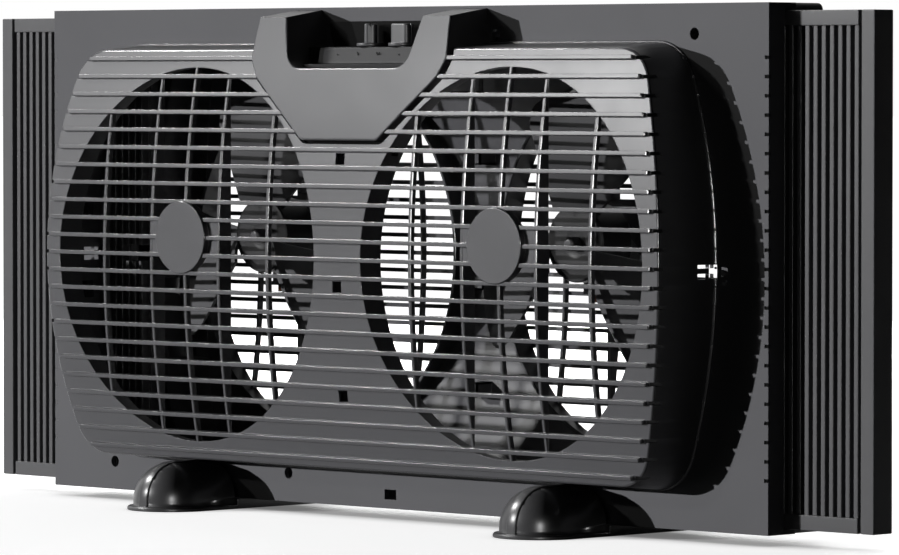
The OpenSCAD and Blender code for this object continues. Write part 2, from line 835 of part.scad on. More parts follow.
// A foot: a nose to the front and one to the back, joined by a flat base that
// runs under the frame.
module foot() {
  y = plate_y + foot_nose_y;
  rim_r = nose_r + foot_rim_w;
  for (t = [0, 180]) rotate([0, 0, t]) {
    difference() {
      nose(0);
      translate([0, foot_wall, -eps]) nose(foot_wall);
    }
    difference() {
      union() {
        rod_z(0, -y, rim_r, 0, foot_rim_t);
        span([-rim_r, -y, 0], [rim_r, -barrel_end + 4, foot_rim_t]);
      }
      rod_z(0, -y, nose_r - foot_wall / 2, -1, foot_rim_t + 1);
      span([foot_wall / 2 - nose_r, -y, -1], [nose_r - foot_wall / 2, -barrel_end - 1, foot_rim_t + 1]);
    }
    intersection() {
      difference() {
        translate([0, -y, nose_z]) sphere(r = nose_r + band_proud);
        translate([0, -y, nose_z]) sphere(r = nose_r - foot_wall / 2);
      }
      span([-foot_band_w / 2, -y - nose_r - 1, foot_rim_t / 2], [foot_band_w / 2, -y, foot_h]);
    }
  }
  difference() {
    span([-rim_r, -barrel_end - 1, 0], [rim_r, barrel_end + 1, ground_gap]);
    for (s = [-1, 1]) {
      rod_z(0, s * foot_screw_y, screw_r + screw_gap, -1, ground_gap + 1);
      rod_z(0, s * foot_screw_y, head_r + seat_gap, -1, head_h + 0.6);
    }
  }
}

module left_foot() {
  color(black) translate([-foot_spacing / 2, 0, 0]) foot();
}

module right_foot() {
  color(black) translate([foot_spacing / 2, 0, 0]) foot();
}

module foot_screws() {
  color(steel) for (x = [-1, 1], y = [-1, 1])
    screw_z(x * foot_spacing / 2, y * foot_screw_y, 0.6, ground_gap + foot_screw_l - head_h - 0.6);
}

// ---- fans -----------------------------------------------------------------

blade_root_r = hub_r - 2;
blade_start = 70;
blade_front = -12;
blade_rear_root = 2;
blade_rear_tip = 15;
tip_corner_r = 14;
blade_cols = 8;
blade_rows = 6;

// Outer radius of a blade at a share t of its sweep: round at both corners.
function blade_edge(t) =
  let (side = tip_r * blade_sweep * PI / 180 * min(t, 1 - t))
  side >= tip_corner_r ? tip_r
    : tip_r - tip_corner_r + sqrt(pow(tip_corner_r, 2) - pow(tip_corner_r - side, 2));

// Distance of a blade from the middle plane at share t of its sweep and share
// s of its length: it climbs to the back, more so at the tip.
function blade_y(t, s) =
  blade_front + (blade_rear_root - blade_front + (blade_rear_tip - blade_rear_root) * pow(s, 1.6)) * t
    + 2.5 * sin(180 * t) * s;

function blade_point(t, s, side) =
  let (r = blade_root_r + (blade_edge(t) - blade_root_r) * s, a = blade_start + blade_sweep * t)
  [r * cos(a), blade_y(t, s) + side * blade_t / 2, r * sin(a)];

module blade() {
  cols = blade_cols + 1;
  rows = blade_rows + 1;
  n = cols * rows;
  at = function(side, i, j) side * n + i * rows + j;
  points = [for (side = [-1, 1], i = [0:blade_cols], j = [0:blade_rows])
    blade_point(i / blade_cols, j / blade_rows, side)];
  faces = concat(
    [for (i = [0:blade_cols - 1], j = [0:blade_rows - 1]) each
      [[at(0, i, j), at(0, i + 1, j + 1), at(0, i, j + 1)],
       [at(0, i, j), at(0, i + 1, j), at(0, i + 1, j + 1)],
       [at(1, i, j), at(1, i, j + 1), at(1, i + 1, j + 1)],
       [at(1, i, j), at(1, i + 1, j + 1), at(1, i + 1, j)]]],
    [for (i = [0:blade_cols - 1]) each
      [[at(0, i, 0), at(1, i, 0), at(1, i + 1, 0)], [at(0, i, 0), at(1, i + 1, 0), at(0, i + 1, 0)],
       [at(0, i, blade_rows), at(1, i + 1, blade_rows), at(1, i, blade_rows)],
       [at(0, i, blade_rows), at(0, i + 1, blade_rows), at(1, i + 1, blade_rows)]]],
    [for (j = [0:blade_rows - 1]) each
      [[at(0, 0, j), at(0, 0, j + 1), at(1, 0, j + 1)], [at(0, 0, j), at(1, 0, j + 1), at(1, 0, j)],
       [at(0, blade_cols, j), at(1, blade_cols, j + 1), at(0, blade_cols, j + 1)],
       [at(0, blade_cols, j), at(1, blade_cols, j), at(1, blade_cols, j + 1)]]]);
  polyhedron(points, faces);
}

// A fan: a cup-shaped hub with a bored boss and its blades.
module impeller() {
  difference() {
    union() {
      difference() {
        rod_y(0, 0, hub_r, -hub_front, hub_d - hub_front);
        rod_y(0, 0, hub_r - 2, 2.5 - hub_front, hub_d);
      }
      rod_y(0, 0, 7, 2 - hub_front, hub_d - hub_front);
      difference() {
        for (i = [0:blade_count - 1]) rotate([0, -i * 360 / blade_count, 0]) blade();
        rod_y(0, 0, hub_r - 1, -tip_r, tip_r);
      }
    }
    rod_y(0, 0, shaft_r + run_gap, -hub_front - 1, hub_d);
  }
}

module at_fan(s) {
  translate([s * opening_x, 0, fan_z]) children();
}

module fan_nut() {
  difference() {
    rod_y(0, 0, nut_r, -hub_front - nut_l, -hub_front);
    rod_y(0, 0, shaft_r + run_gap, -hub_front - nut_l + 1.5, 1);
  }
}

module left_impeller() {
  color(graphite) at_fan(-1) impeller();
}

module right_impeller() {
  color(graphite) at_fan(1) impeller();
}

module left_fan_nut() {
  color(black) at_fan(-1) fan_nut();
}

module right_fan_nut() {
  color(black) at_fan(1) fan_nut();
}

// ---- motors ---------------------------------------------------------------

seat_t = 3;
seat_h = 50;
rear_foot = 3;
rear_bracket_y = fin_end - rear_foot - bracket_t;
stack_y = rear_bracket_y - bracket_gap - stack_t;
front_bracket_y = stack_y - bracket_gap - bracket_t;
motor_screw_x = 20;
motor_screw_z = 13;
motor_screw_l = fin_end + seat_t - front_bracket_y;
bracket_h = 40;
bobbin_t = 1;

module motor_screw_places() {
  for (p = [[-motor_screw_x, motor_screw_z], [motor_screw_x, -motor_screw_z]])
    translate([opening_x + p[0], 0, fan_z + p[1]]) children();
}

// Holes through a motor piece, in the piece's own place.
module motor_holes(r, y0, y1) {
  for (p = [[-motor_screw_x, motor_screw_z], [motor_screw_x, -motor_screw_z]])
    rod_y(p[0], p[1], r, y0, y1);
}

module shaft() {
  rod_y(0, 0, shaft_r, -hub_front - nut_l + 2, fin_end - 1);
}

module rotor() {
  difference() {
    union() {
      rod_y(0, 0, rotor_r, stack_y, stack_y + stack_t);
      rod_y(0, 0, rotor_r - 3, stack_y - 0.8, stack_y + stack_t + 0.8);
    }
    rod_y(0, 0, shaft_r + run_gap, stack_y - 2, stack_y + stack_t + 2);
  }
}

// The stack: a ring about the rotor with a leg below it that takes the coil.
module stator() {
  window_top = -rotor_r - air_gap - 2;
  difference() {
    span([-stator_w / 2, stack_y, -stator_drop], [stator_w / 2, stack_y + stack_t, stator_top]);
    rod_y(0, 0, rotor_r + air_gap, stack_y - 1, stack_y + stack_t + 1);
    span([-coil_w / 2 - bobbin_t - 1, stack_y - 1, leg_h - stator_drop],
      [coil_w / 2 + bobbin_t + 1, stack_y + stack_t + 1, window_top]);
    motor_holes(screw_r + screw_gap, stack_y - 1, stack_y + stack_t + 1);
  }
}

// A square sleeve about the coil leg, from d0 to d1 off its faces.
module leg_sleeve(w, d0, d1) {
  difference() {
    span([-w / 2, stack_y - d1, -stator_drop - d1], [w / 2, stack_y + stack_t + d1, leg_h - stator_drop + d1]);
    span([-w / 2 - 1, stack_y - d0, -stator_drop - d0],
      [w / 2 + 1, stack_y + stack_t + d0, leg_h - stator_drop + d0]);
  }
}

module bobbin() {
  leg_sleeve(coil_w - eps, 0.1, bobbin_t);
  for (s = [-1, 1]) translate([s * (coil_w + bobbin_t) / 2, 0, 0])
    leg_sleeve(bobbin_t, 0.1, bobbin_t + coil_t + 0.3);
}

module coil() {
  leg_sleeve(coil_w - 0.2, bobbin_t + 0.05, bobbin_t + coil_t);
}

// A bearing bracket: a bar with a bush seat and two screw holes.
module bracket(y, foot) {
  difference() {
    union() {
      rod_y(0, 0, bush_r + 5, y, y + bracket_t);
      translate([0, y + bracket_t, 0]) rotate([90, 0, 0]) linear_extrude(height = bracket_t)
        polygon(rounded([[6 - motor_screw_x - 12, motor_screw_z - 6], [-6, -9], [motor_screw_x - 6, -motor_screw_z - 6],
          [motor_screw_x + 6, -motor_screw_z - 6], [motor_screw_x + 6, 6 - motor_screw_z], [6, 9],
          [6 - motor_screw_x, motor_screw_z + 6], [-6 - motor_screw_x, motor_screw_z + 6]],
          [2, 0, 2, 2, 2, 0, 2, 2]));
      motor_holes(5, y, y + bracket_t + foot);
    }
    rod_y(0, 0, bush_r, y - 1, y + bracket_t + 1);
    motor_holes(screw_r + screw_gap, y - 1, y + bracket_t + foot + 1);
  }
}

module front_bracket() {
  bracket(front_bracket_y, bracket_gap);
}

module rear_bracket() {
  bracket(rear_bracket_y, rear_foot);
}

module bush(y) {
  tube_y(0, 0, shaft_r + run_gap, bush_r, y, y + bracket_t);
}

module motor_screws() {
  motor_holes(screw_r, front_bracket_y - eps, front_bracket_y + motor_screw_l);
  motor_holes(head_r, front_bracket_y - head_h, front_bracket_y);
}

module left_shaft() {
  color(steel) at_fan(-1) shaft();
}

module right_shaft() {
  color(steel) at_fan(1) shaft();
}

module left_rotor() {
  color(steel) at_fan(-1) rotor();
}

module right_rotor() {
  color(steel) at_fan(1) rotor();
}

module left_stator() {
  color(steel) scale_x(-1) at_fan(1) stator();
}

module right_stator() {
  color(steel) at_fan(1) stator();
}

module left_coil() {
  color(copper) at_fan(-1) coil();
}

module right_coil() {
  color(copper) at_fan(1) coil();
}

module left_bobbin() {
  color(black) at_fan(-1) bobbin();
}

module right_bobbin() {
  color(black) at_fan(1) bobbin();
}

module left_front_bracket() {
  color(steel) scale_x(-1) at_fan(1) front_bracket();
}

module right_front_bracket() {
  color(steel) at_fan(1) front_bracket();
}

module left_rear_bracket() {
  color(steel) scale_x(-1) at_fan(1) rear_bracket();
}

module right_rear_bracket() {
  color(steel) at_fan(1) rear_bracket();
}

module left_front_bush() {
  color(brass) at_fan(-1) bush(front_bracket_y);
}

module right_front_bush() {
  color(brass) at_fan(1) bush(front_bracket_y);
}

module left_rear_bush() {
  color(brass) at_fan(-1) bush(rear_bracket_y);
}

module right_rear_bush() {
  color(brass) at_fan(1) bush(rear_bracket_y);
}

module left_motor_screws() {
  color(steel) scale_x(-1) at_fan(1) motor_screws();
}

module right_motor_screws() {
  color(steel) at_fan(1) motor_screws();
}

// ---- wiring ---------------------------------------------------------------

inlet_wall = 2.3;
inlet_z = ground_gap + 12.5;
wire_r = 1.5;
wire_gap = 1;
wire_z = mid_z + cover_h / 2 - cover_wall - wire_r - 1.5;
wire_y = min(ring_end, dome_back(wire_z + wire_r - mid_z)) - wire_r - wire_gap;
lead_x = opening_x - stator_w / 2 - 2 * wire_r;
lead_z = fan_z - stator_drop - wire_r - wire_gap;
lead_end_x = opening_x - coil_w / 2 - bobbin_t - seat_gap - wire_r;

// The strain-free inlet sleeve in the rear plate; the cord itself is left out.
module cord_inlet() {
  color(black) difference() {
    union() {
      rod_y(inlet_x, inlet_z, inlet_r + inlet_wall, plate_y - frame_wall - 4, plate_y);
      rod_y(inlet_x, inlet_z, inlet_r + inlet_wall + 1.8, plate_y, plate_y + 2);
    }
    rod_y(inlet_x, inlet_z, inlet_r, 0, plate_y + 5);
  }
}

// A round wire from a to b along one axis.
module wire(a, b) {
  d = b - a;
  translate(a) rotate(d[0] != 0 ? [0, 90 * sign(d[0]), 0]
      : d[1] != 0 ? [-90 * sign(d[1]), 0, 0] : d[2] < 0 ? [180, 0, 0] : [0, 0, 0])
    translate([0, 0, -wire_r]) cylinder(r = wire_r, h = norm(d) + 2 * wire_r);
}

// The harness: a lead from the switches over to both motors, along the top.
module wiring() {
  z_switch = mid_z + deck_z - deck_t - switch_h - 8;
  x = (mode_x - speed_x) / 2;
  y = -plate_y - dial_y;
  color(black) {
    for (s = [-speed_x, mode_x]) wire([s, y, z_switch + 2], [s, y, z_switch]);
    wire([-speed_x, y, z_switch], [mode_x, y, z_switch]);
    wire([x, y, z_switch], [x, wire_y, z_switch]);
    wire([x, wire_y, z_switch], [x, wire_y, wire_z]);
    wire([-lead_x, wire_y, wire_z], [lead_x, wire_y, wire_z]);
    for (s = [-1, 1]) {
      wire([s * lead_x, wire_y, wire_z], [s * lead_x, wire_y, lead_z]);
      wire([s * lead_x, wire_y, lead_z], [s * lead_end_x, wire_y, lead_z]);
    }
  }
}

// ---- assembly -------------------------------------------------------------

front_frame();
rear_frame();
front_cover();
rear_cover();
control_bezel();
control_deck();
speed_knob();
mode_knob();
speed_spindle();
mode_spindle();
speed_switch();
mode_switch();
left_foot();
right_foot();
foot_screws();
frame_screws();
left_expander();
right_expander();
left_impeller();
right_impeller();
left_fan_nut();
right_fan_nut();
left_shaft();
right_shaft();
left_rotor();
right_rotor();
left_stator();
right_stator();
left_coil();
right_coil();
left_bobbin();
right_bobbin();
left_front_bracket();
right_front_bracket();
left_rear_bracket();
right_rear_bracket();
left_front_bush();
right_front_bush();
left_rear_bush();
right_rear_bush();
left_motor_screws();
right_motor_screws();
cord_inlet();
wiring();
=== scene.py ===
"""Looks of a twin reversible window fan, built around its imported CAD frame."""
import json
import math

import bmesh
import bpy
from mathutils import Matrix, Vector
from mathutils.geometry import delaunay_2d_cdt

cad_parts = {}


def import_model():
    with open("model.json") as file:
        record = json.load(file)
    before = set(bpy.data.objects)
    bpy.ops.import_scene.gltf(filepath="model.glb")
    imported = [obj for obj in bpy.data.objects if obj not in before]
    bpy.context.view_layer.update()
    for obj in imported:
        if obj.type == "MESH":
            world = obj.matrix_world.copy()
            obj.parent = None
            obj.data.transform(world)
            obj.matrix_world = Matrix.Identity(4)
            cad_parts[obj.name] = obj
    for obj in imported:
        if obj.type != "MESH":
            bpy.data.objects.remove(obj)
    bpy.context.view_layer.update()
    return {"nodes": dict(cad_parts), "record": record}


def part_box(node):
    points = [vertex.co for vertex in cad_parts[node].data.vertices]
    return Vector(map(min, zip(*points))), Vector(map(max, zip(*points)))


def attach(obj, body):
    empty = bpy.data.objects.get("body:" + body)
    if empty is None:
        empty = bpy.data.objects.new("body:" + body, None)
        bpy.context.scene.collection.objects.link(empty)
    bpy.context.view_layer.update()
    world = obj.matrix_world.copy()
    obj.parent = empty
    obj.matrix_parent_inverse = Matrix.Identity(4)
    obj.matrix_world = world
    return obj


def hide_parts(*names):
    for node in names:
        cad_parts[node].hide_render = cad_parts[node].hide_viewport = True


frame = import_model()

MM = 0.001

# ---- sizes, in millimetres -------------------------------------------------

PLATE_LOW, PLATE_HIGH = (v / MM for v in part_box("front_frame"))
PLATE_Y = -PLATE_LOW.y
FRAME_HALF_W = PLATE_HIGH.x
BOTTOM_Z, TOP_Z = PLATE_LOW.z, PLATE_HIGH.z
MID_Z = (BOTTOM_Z + TOP_Z) / 2

COVER_W, COVER_H = 524, 252
COVER_DEPTH = 45
SIDE_R, CORNER_R, DOME_R = 350, 26, 600
COVER_WALL = 2.8
COVER_EDGE_R = 1.5
COVER_DRAFT = 2.6
LIP_W, LIP_T = 3.9, 1.2
FINE_R = 0.4
PANEL_FRONT = PLATE_Y + COVER_DEPTH
DOME_Y = DOME_R - PANEL_FRONT

OPENING_X, OPENING_R, OPENING_RIM = 134.5, 114.5, 0.6
RING_WALL, RING_END = 2.2, PLATE_Y + 27.4
BAR_PITCH, BAR_COUNT = 10.9, 23
BAR_H, BAR_PROUD, BAR_ROOT, BAR_GAP, BAR_R = 2.5, 2.6, 0.6, 4.6, 0.3
RIB_W, RIB_DEPTH = 2.5, 4
RIB_XS = (-73.3, 0, 73.3)
FIN_X, FIN_END = 30, PLATE_Y + 34
DISC_R, DISC_PROUD = 22.25, 3.6
LEVELS = [k * BAR_PITCH for k in range(-(BAR_COUNT // 2), BAR_COUNT // 2 + 1)]
NOTCH_H, NOTCH_W, NOTCH_DEPTH, LIP_NOTCH_H = 2.1, 3.8, 8.0, 1.4
LATCH_L, LATCH_BASE, LATCH_LOW, LATCH_HIGH = 14.3, 3.6, (-6.3, -3.2), (-0.2, 1.9)
LATCH_IN, LATCH_OUT, WINDOW_IN, WINDOW_OUT, WINDOW_ROOM = 6, 5, 26, 3.6, 1
WEB_HOLES = [(k + 0.5) * BAR_PITCH for k in (5, -2, -8)]
HOLE_W, HOLE_H, CUP_DEPTH, CUP_WALL = 3.8, 3.4, 15, 1.2
MOTOR_SEAT_H, MOTOR_SEAT_T = 50, 3
REAR_CORNER_R = 4

BEZEL_TOP = TOP_Z - MID_Z - 5.5
BEZEL_FOOT = BEZEL_TOP - 74.5
BEZEL_PROUD, BEZEL_GAP, BEZEL_EDGE_R, BEZEL_WALL = 3.3, 2.2, 1.3, 2.4
BEZEL_SKIRT, BEZEL_WAIST, FACE_PITCH = 17, BEZEL_FOOT + 38, 5.3
EAR_RISE = 4
BEZEL_CORNERS = [(-32.7, BEZEL_FOOT), (32.7, BEZEL_FOOT), (78, BEZEL_WAIST), (84, BEZEL_FOOT + 49),
                 (81.5, BEZEL_TOP + EAR_RISE), (-81.5, BEZEL_TOP + EAR_RISE),
                 (-84, BEZEL_FOOT + 49), (-78, BEZEL_WAIST)]
BEZEL_RADII = [6, 6, 12, 12, 0, 0, 12, 12]
POCKET_FLOOR = BEZEL_TOP - 31.2
POCKET_MOUTH = BEZEL_TOP + EAR_RISE + 2
POCKET_CORNERS = [(-50, POCKET_FLOOR), (50, POCKET_FLOOR), (59.5, POCKET_MOUTH), (-59.5, POCKET_MOUTH)]
POCKET_RADII = [13, 13, 0, 0]

DECK_Z = POCKET_FLOOR + 12.7
DECK_D, DECK_T, DECK_SLOPE, DECK_EDGE_R = 17, 3, 3.5, 1.2
MARK_W, MARK_T = 0.9, 0.4
MARKS = [(-26.2, 2, (0,)), (-8.75, 4.4, (0,)), (8.75, 4.4, (-0.9, 0.9)), (26.2, 2, (0,))]
# Corners of the near-black sheet on the pocket's back: painted shade standing in for a deep dark recess.
POCKET_SHADE_SHEET = [(-48, DECK_Z), (52, DECK_Z), (56, BEZEL_TOP - 3), (-53, BEZEL_TOP - 3)]
POCKET_SHADE_SHEET_RADII = [0.5, 0.5, 3, 3]
BACKING_W, BACKING_H, BACKING_D = 84, 9, 8
DIAL_XS = {"speed": -7, "mode": 20}
DIAL_TURNS = {"speed": 45, "mode": 90}
SPINDLE_R = 3.05
DIAL_Y, DIAL_R, DIAL_H, GRIP_W, GRIP_R, GROOVE_W = 9.5, 8.5, 13.5, 7.6, 2.4, 0.9
SEAT_GAP = 0.3

PANEL_W, PANEL_BAR_W, PANEL_RAIL_H, PANEL_SKIN = 134.7, 9.7, 8.7, 2
PANEL_RIB_W, PANEL_RIB_PITCH, PANEL_SLOT = 3.3, 6.15, 2.9
CATCH_L = 18

FOOT_X, NOSE_R, NOSE_Y, FOOT_H = 158, 23.6, 34, 29
FOOT_RIM_W, FOOT_RIM_T, FOOT_WALL, FOOT_BAND_W = 3.7, 2.6, 2.6, 7.5
FOOT_HOLE_R, FOOT_HOLE_Y = 3.8, 12

FAN_Z = MID_Z + BAR_PITCH
TIP_R, HUB_R, HUB_FRONT, HUB_REAR = 87.5, 23, 3, 21
BLADE_COUNT, BLADE_START, BLADE_SWEEP, BLADE_T, BLADE_CORNER_R = 3, 50, 62, 1.8, 14
BLADE_BACK, BLADE_RISE, BLADE_TWIST, TWIST_POWER, BLADE_CAMBER = -12, 14, 13, 1.6, 2.5
ROOT_SHARE_T, TAPER_SHARE_T = 1.35, 0.55
GUSSET_COUNT, BORE_R, NUT_R, NUT_L, NUT_GRIPS = 6, 3.1, 4.3, 6.5, 6
ARC_STEPS = 10
SIDE_STEPS = 22


# ---- outlines --------------------------------------------------------------

def arc(cx, cy, r, a0, a1, n=ARC_STEPS):
    """Points of an arc about (cx, cy) from angle a0 to a1, in degrees."""
    angles = [math.radians(a0 + (a1 - a0) * i / n) for i in range(n + 1)]
    return [(cx + r * math.cos(a), cy + r * math.sin(a)) for a in angles]


def circle(cx, cy, r, n):
    return arc(cx, cy, r, 0, 360, n)[:-1]


def corners(points):
    """Each corner of an outline, the directions to its neighbours and half the angle between them."""
    for i, p in enumerate(points):
        q = Vector(p)
        u = (Vector(points[i - 1]) - q).normalized()
        v = (Vector(points[(i + 1) % len(points)]) - q).normalized()
        yield q, u, v, math.acos(max(-1, min(1, u.dot(v)))) / 2


def inset(points, d):
    """An anticlockwise outline drawn in by d."""
    out = []
    for q, u, v, half in corners(points):
        side = -1 if (-u).cross(v) < 0 else 1
        out.append(tuple(q + side * (u + v).normalized() * d / math.sin(half)))
    return out


def rounded(points, radii, n=ARC_STEPS):
    """An outline with each corner rounded by its radius."""
    out = []
    for r, (q, u, v, half) in zip(radii, corners(points)):
        if r <= 0:
            out.append(tuple(q))
            continue
        c = q + (u + v).normalized() * r / math.sin(half)
        a = q + u * r / math.tan(half) - c
        b = q + v * r / math.tan(half) - c
        a0 = math.degrees(math.atan2(a.y, a.x))
        turn = (math.degrees(math.atan2(b.y, b.x)) - a0 + 180) % 360 - 180
        out += arc(c.x, c.y, r, a0, a0 + turn, n)
    return out


SIDE_C = COVER_W / 2 - SIDE_R
CORNER_Z = COVER_H / 2 - CORNER_R
CORNER_A = math.degrees(math.asin(CORNER_Z / (SIDE_R - CORNER_R)))
CORNER_X = SIDE_C + math.sqrt((SIDE_R - CORNER_R) ** 2 - CORNER_Z ** 2)
FLAT_STEPS = 12


def cover_outline(d):
    """A cover's outline about the middle of the frame, drawn in by d."""
    flat = [(-CORNER_X + 2 * CORNER_X * i / FLAT_STEPS, d - COVER_H / 2) for i in range(1, FLAT_STEPS)]
    half = flat + arc(CORNER_X, -CORNER_Z, CORNER_R - d, -90, -CORNER_A)
    half += arc(SIDE_C, 0, SIDE_R - d, -CORNER_A, CORNER_A, SIDE_STEPS)[1:-1]
    half += arc(CORNER_X, CORNER_Z, CORNER_R - d, CORNER_A, 90)
    return half + [(-x, -z) for x, z in half]


def cover_half_w(z):
    if abs(z) <= CORNER_Z + CORNER_R * math.sin(math.radians(CORNER_A)):
        return SIDE_C + math.sqrt(SIDE_R ** 2 - z * z)
    return CORNER_X + math.sqrt(max(0, CORNER_R ** 2 - (abs(z) - CORNER_Z) ** 2))


def dome_front(z, proud=0):
    """Depth of the domed panel's front at a height above the middle."""
    r = DOME_R + proud
    return DOME_Y - math.sqrt(r * r - z * z)


def bezel_outline(d):
    return rounded(inset(BEZEL_CORNERS, d), [r - d if r else 0 for r in BEZEL_RADII])


def pocket_outline(d):
    return rounded(inset(POCKET_CORNERS, d), [r - d if r else 0 for r in POCKET_RADII])


# ---- mesh building ---------------------------------------------------------

def rounding(r, n=4):
    """(inset, run) pairs of a quarter round of radius r, from the wall to the face."""
    return [(r - r * math.cos(math.pi / 2 * i / n), r * math.sin(math.pi / 2 * i / n)) for i in range(n + 1)]


class Form:
    """Points and faces of one piece, gathered before it becomes an object."""

    def __init__(self):
        self.bm = bmesh.new()

    def ring(self, points):
        return [self.bm.verts.new(p) for p in points]

    def band(self, a, b):
        for i in range(len(a)):
            j = (i + 1) % len(a)
            self.bm.faces.new((a[i], a[j], b[j], b[i]))

    def loft(self, rows, caps=(True, True)):
        """Joins rings of points, and closes the two ends."""
        rings = [self.ring(r) for r in rows]
        for a, b in zip(rings, rings[1:]):
            self.band(a, b)
        if caps[0]:
            self.bm.faces.new(list(reversed(rings[0])))
        if caps[1]:
            self.bm.faces.new(rings[-1])
        return self

    def box(self, a, b, r=0):
        """A box from corner to corner, its edges rounded."""
        made = bmesh.ops.create_cube(self.bm, size=1)["verts"]
        for v in made:
            v.co = Vector([a[k] if v.co[k] < 0 else b[k] for k in range(3)])
        if r > 0:
            edges = list({e for v in made for e in v.link_edges})
            bmesh.ops.bevel(self.bm, geom=edges, offset=r, segments=2, affect="EDGES", profile=0.5)
        return self

    def side_box(self, s, x0, x1, low, high, r=0):
        """A box on side s (-1 or 1) between x0 and x1; low and high are its (y, z) corners."""
        a, b = sorted((s * x0, s * x1))
        return self.box((a, *low), (b, *high), r)

    def run_y(self, outline, y0, y1):
        """Runs a flat outline about the middle of the frame from y0 to y1."""
        return self.loft([lifted(outline, at_depth(y)) for y in (y0, y1)])

    def prism(self, outline, t0, t1, axis, r0, r1, centre=(0, 0)):
        """Runs outline(inset) along an axis from t0 to t1, its two rims rounded."""
        rows = [(d, t0 + r0 - run) for d, run in reversed(rounding(r0, 3))] if r0 else [(0, t0)]
        rows += [(d, t1 - r1 + run) for d, run in rounding(r1, 3)] if r1 else [(0, t1)]
        self.loft([[place(p, t, axis, centre) for p in outline(d)] for d, t in rows])

    def rod(self, centre, r, t0, t1, edge=0, n=40):
        """An upright round bar."""
        self.prism(lambda d: circle(0, 0, r - d, n), t0, t1, "z", edge, edge, centre)

    def join(self, other):
        mesh = bpy.data.meshes.new("part")
        other.bm.to_mesh(mesh)
        self.bm.from_mesh(mesh)
        bpy.data.meshes.remove(mesh)

    def to_object(self, name):
        bmesh.ops.recalc_face_normals(self.bm, faces=self.bm.faces)
        mesh = bpy.data.meshes.new(name)
        self.bm.to_mesh(mesh)
        self.bm.free()
        obj = bpy.data.objects.new(name, mesh)
        bpy.context.scene.collection.objects.link(obj)
        return obj


def at_depth(y):
    """A y_of(z) that stays at one depth."""
    return lambda z: y


def lifted(outline, y_of):
    """A flat outline carried onto y_of(z)."""
    return [(x, y_of(z), z + MID_Z) for x, z in outline]


def dome_rim(row, r, n, proud=0):
    """Rows of a rounded rim that ends on the dome; row(inset, y_of) makes each."""
    return [row(d, lambda z, run=run: dome_front(z, proud) + r - run) for d, run in rounding(r, n)]


def place(p, t, axis, centre):
    """A point of a flat outline at t along the y or z axis."""
    u, v = p[0] + centre[0], p[1] + centre[1]
    return {"y": (u, t, v), "z": (u, v, t)}[axis]


def applied(obj, modifier_type, **settings):
    """Applies one modifier to an object's mesh."""
    modifier = obj.modifiers.new("m", modifier_type)
    for key, value in settings.items():
        setattr(modifier, key, value)
    bpy.context.view_layer.update()
    mesh = bpy.data.meshes.new_from_object(obj.evaluated_get(bpy.context.evaluated_depsgraph_get()))
    obj.modifiers.clear()
    old, obj.data = obj.data, mesh
    bpy.data.meshes.remove(old)


def cut(obj, cutter, operation="DIFFERENCE", use_self=True):
    """Takes a form or another object out of an object, or keeps what they share."""
    if isinstance(cutter, Form):
        cutter = cutter.to_object("cutter")
    applied(obj, "BOOLEAN", object=cutter, operation=operation, solver="EXACT", use_self=use_self)
    bpy.data.objects.remove(cutter)


def set_dome_normals(obj, prouds, side=1):
    """Gives the faces that lie on the dome its own normals."""
    mesh = obj.data
    normals = [n.vector.copy() for n in mesh.corner_normals]
    for face in mesh.polygons:
        points = [mesh.vertices[v].co / MM for v in face.vertices]
        for proud in prouds:
            if all(abs(side * p.y - dome_front(p.z - MID_Z, proud)) < 0.04 for p in points):
                for corner in face.loop_indices:
                    z = mesh.vertices[mesh.loops[corner].vertex_index].co.z / MM - MID_Z
                    r = DOME_R + proud
                    normals[corner] = Vector((0, -side * math.sqrt(r * r - z * z) / r, z / r))
    mesh.normals_split_custom_set(normals)


def finish_piece(obj, name, material, body, nodes, angle=34, prouds=(), side=1):
    """Scales a millimetre mesh to metres, shades it and hangs it on its body."""
    obj.name = name
    obj.data.transform(Matrix.Scale(MM, 4))
    obj.data.polygons.foreach_set("use_smooth", [True] * len(obj.data.polygons))
    obj.data.set_sharp_from_angle(angle=math.radians(angle))
    applied(obj, "WEIGHTED_NORMAL", keep_sharp=True, weight=50)
    if prouds:
        set_dome_normals(obj, prouds, side)
    obj.data.name = name
    obj.data.materials.clear()
    obj.data.materials.append(material)
    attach(obj, body)
    if nodes:
        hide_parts(*nodes)


# ---- materials -------------------------------------------------------------

def node_material(name):
    material = bpy.data.materials.new(name)
    material.use_nodes = True
    tree = material.node_tree
    return material, tree, tree.nodes["Principled BSDF"]


def put(tree, socket, value):
    """Links an output to a socket, or sets the socket's own value."""
    if isinstance(value, bpy.types.NodeSocket):
        tree.links.new(value, socket)
    else:
        socket.default_value = value


def feed(tree, node, **inputs):
    """Fills a node's inputs; an underscore in a name stands for a space."""
    for key, value in inputs.items():
        put(tree, node.inputs[key.replace("_", " ")], value)
    return node


def added(tree, kind, **inputs):
    return feed(tree, tree.nodes.new("ShaderNode" + kind), **inputs)


def noise(tree, scale, detail, roughness, stretch=None):
    """Noise in the object's own coordinates, stretched where asked."""
    vector = added(tree, "TexCoord").outputs["Object"]
    if stretch:
        vector = added(tree, "Mapping", Vector=vector, Scale=stretch).outputs["Vector"]
    texture = added(tree, "TexNoise", Vector=vector, Scale=scale, Detail=detail, Roughness=roughness)
    return texture.outputs["Fac"]


def ranged(tree, value, low, high, start=0, end=1, kind="LINEAR"):
    """A value's stretch from start to end, spread over low to high."""
    spread = added(tree, "MapRange", Value=value, From_Min=start, From_Max=end, To_Min=low, To_Max=high)
    spread.interpolation_type = kind
    return spread.outputs["Result"]


def combined(tree, operation, *values, kind="Math", output=0):
    """The result of one math node on its values."""
    node = added(tree, kind)
    node.operation = operation
    for socket, value in zip(node.inputs, values):
        put(tree, socket, value)
    return node.outputs[output]


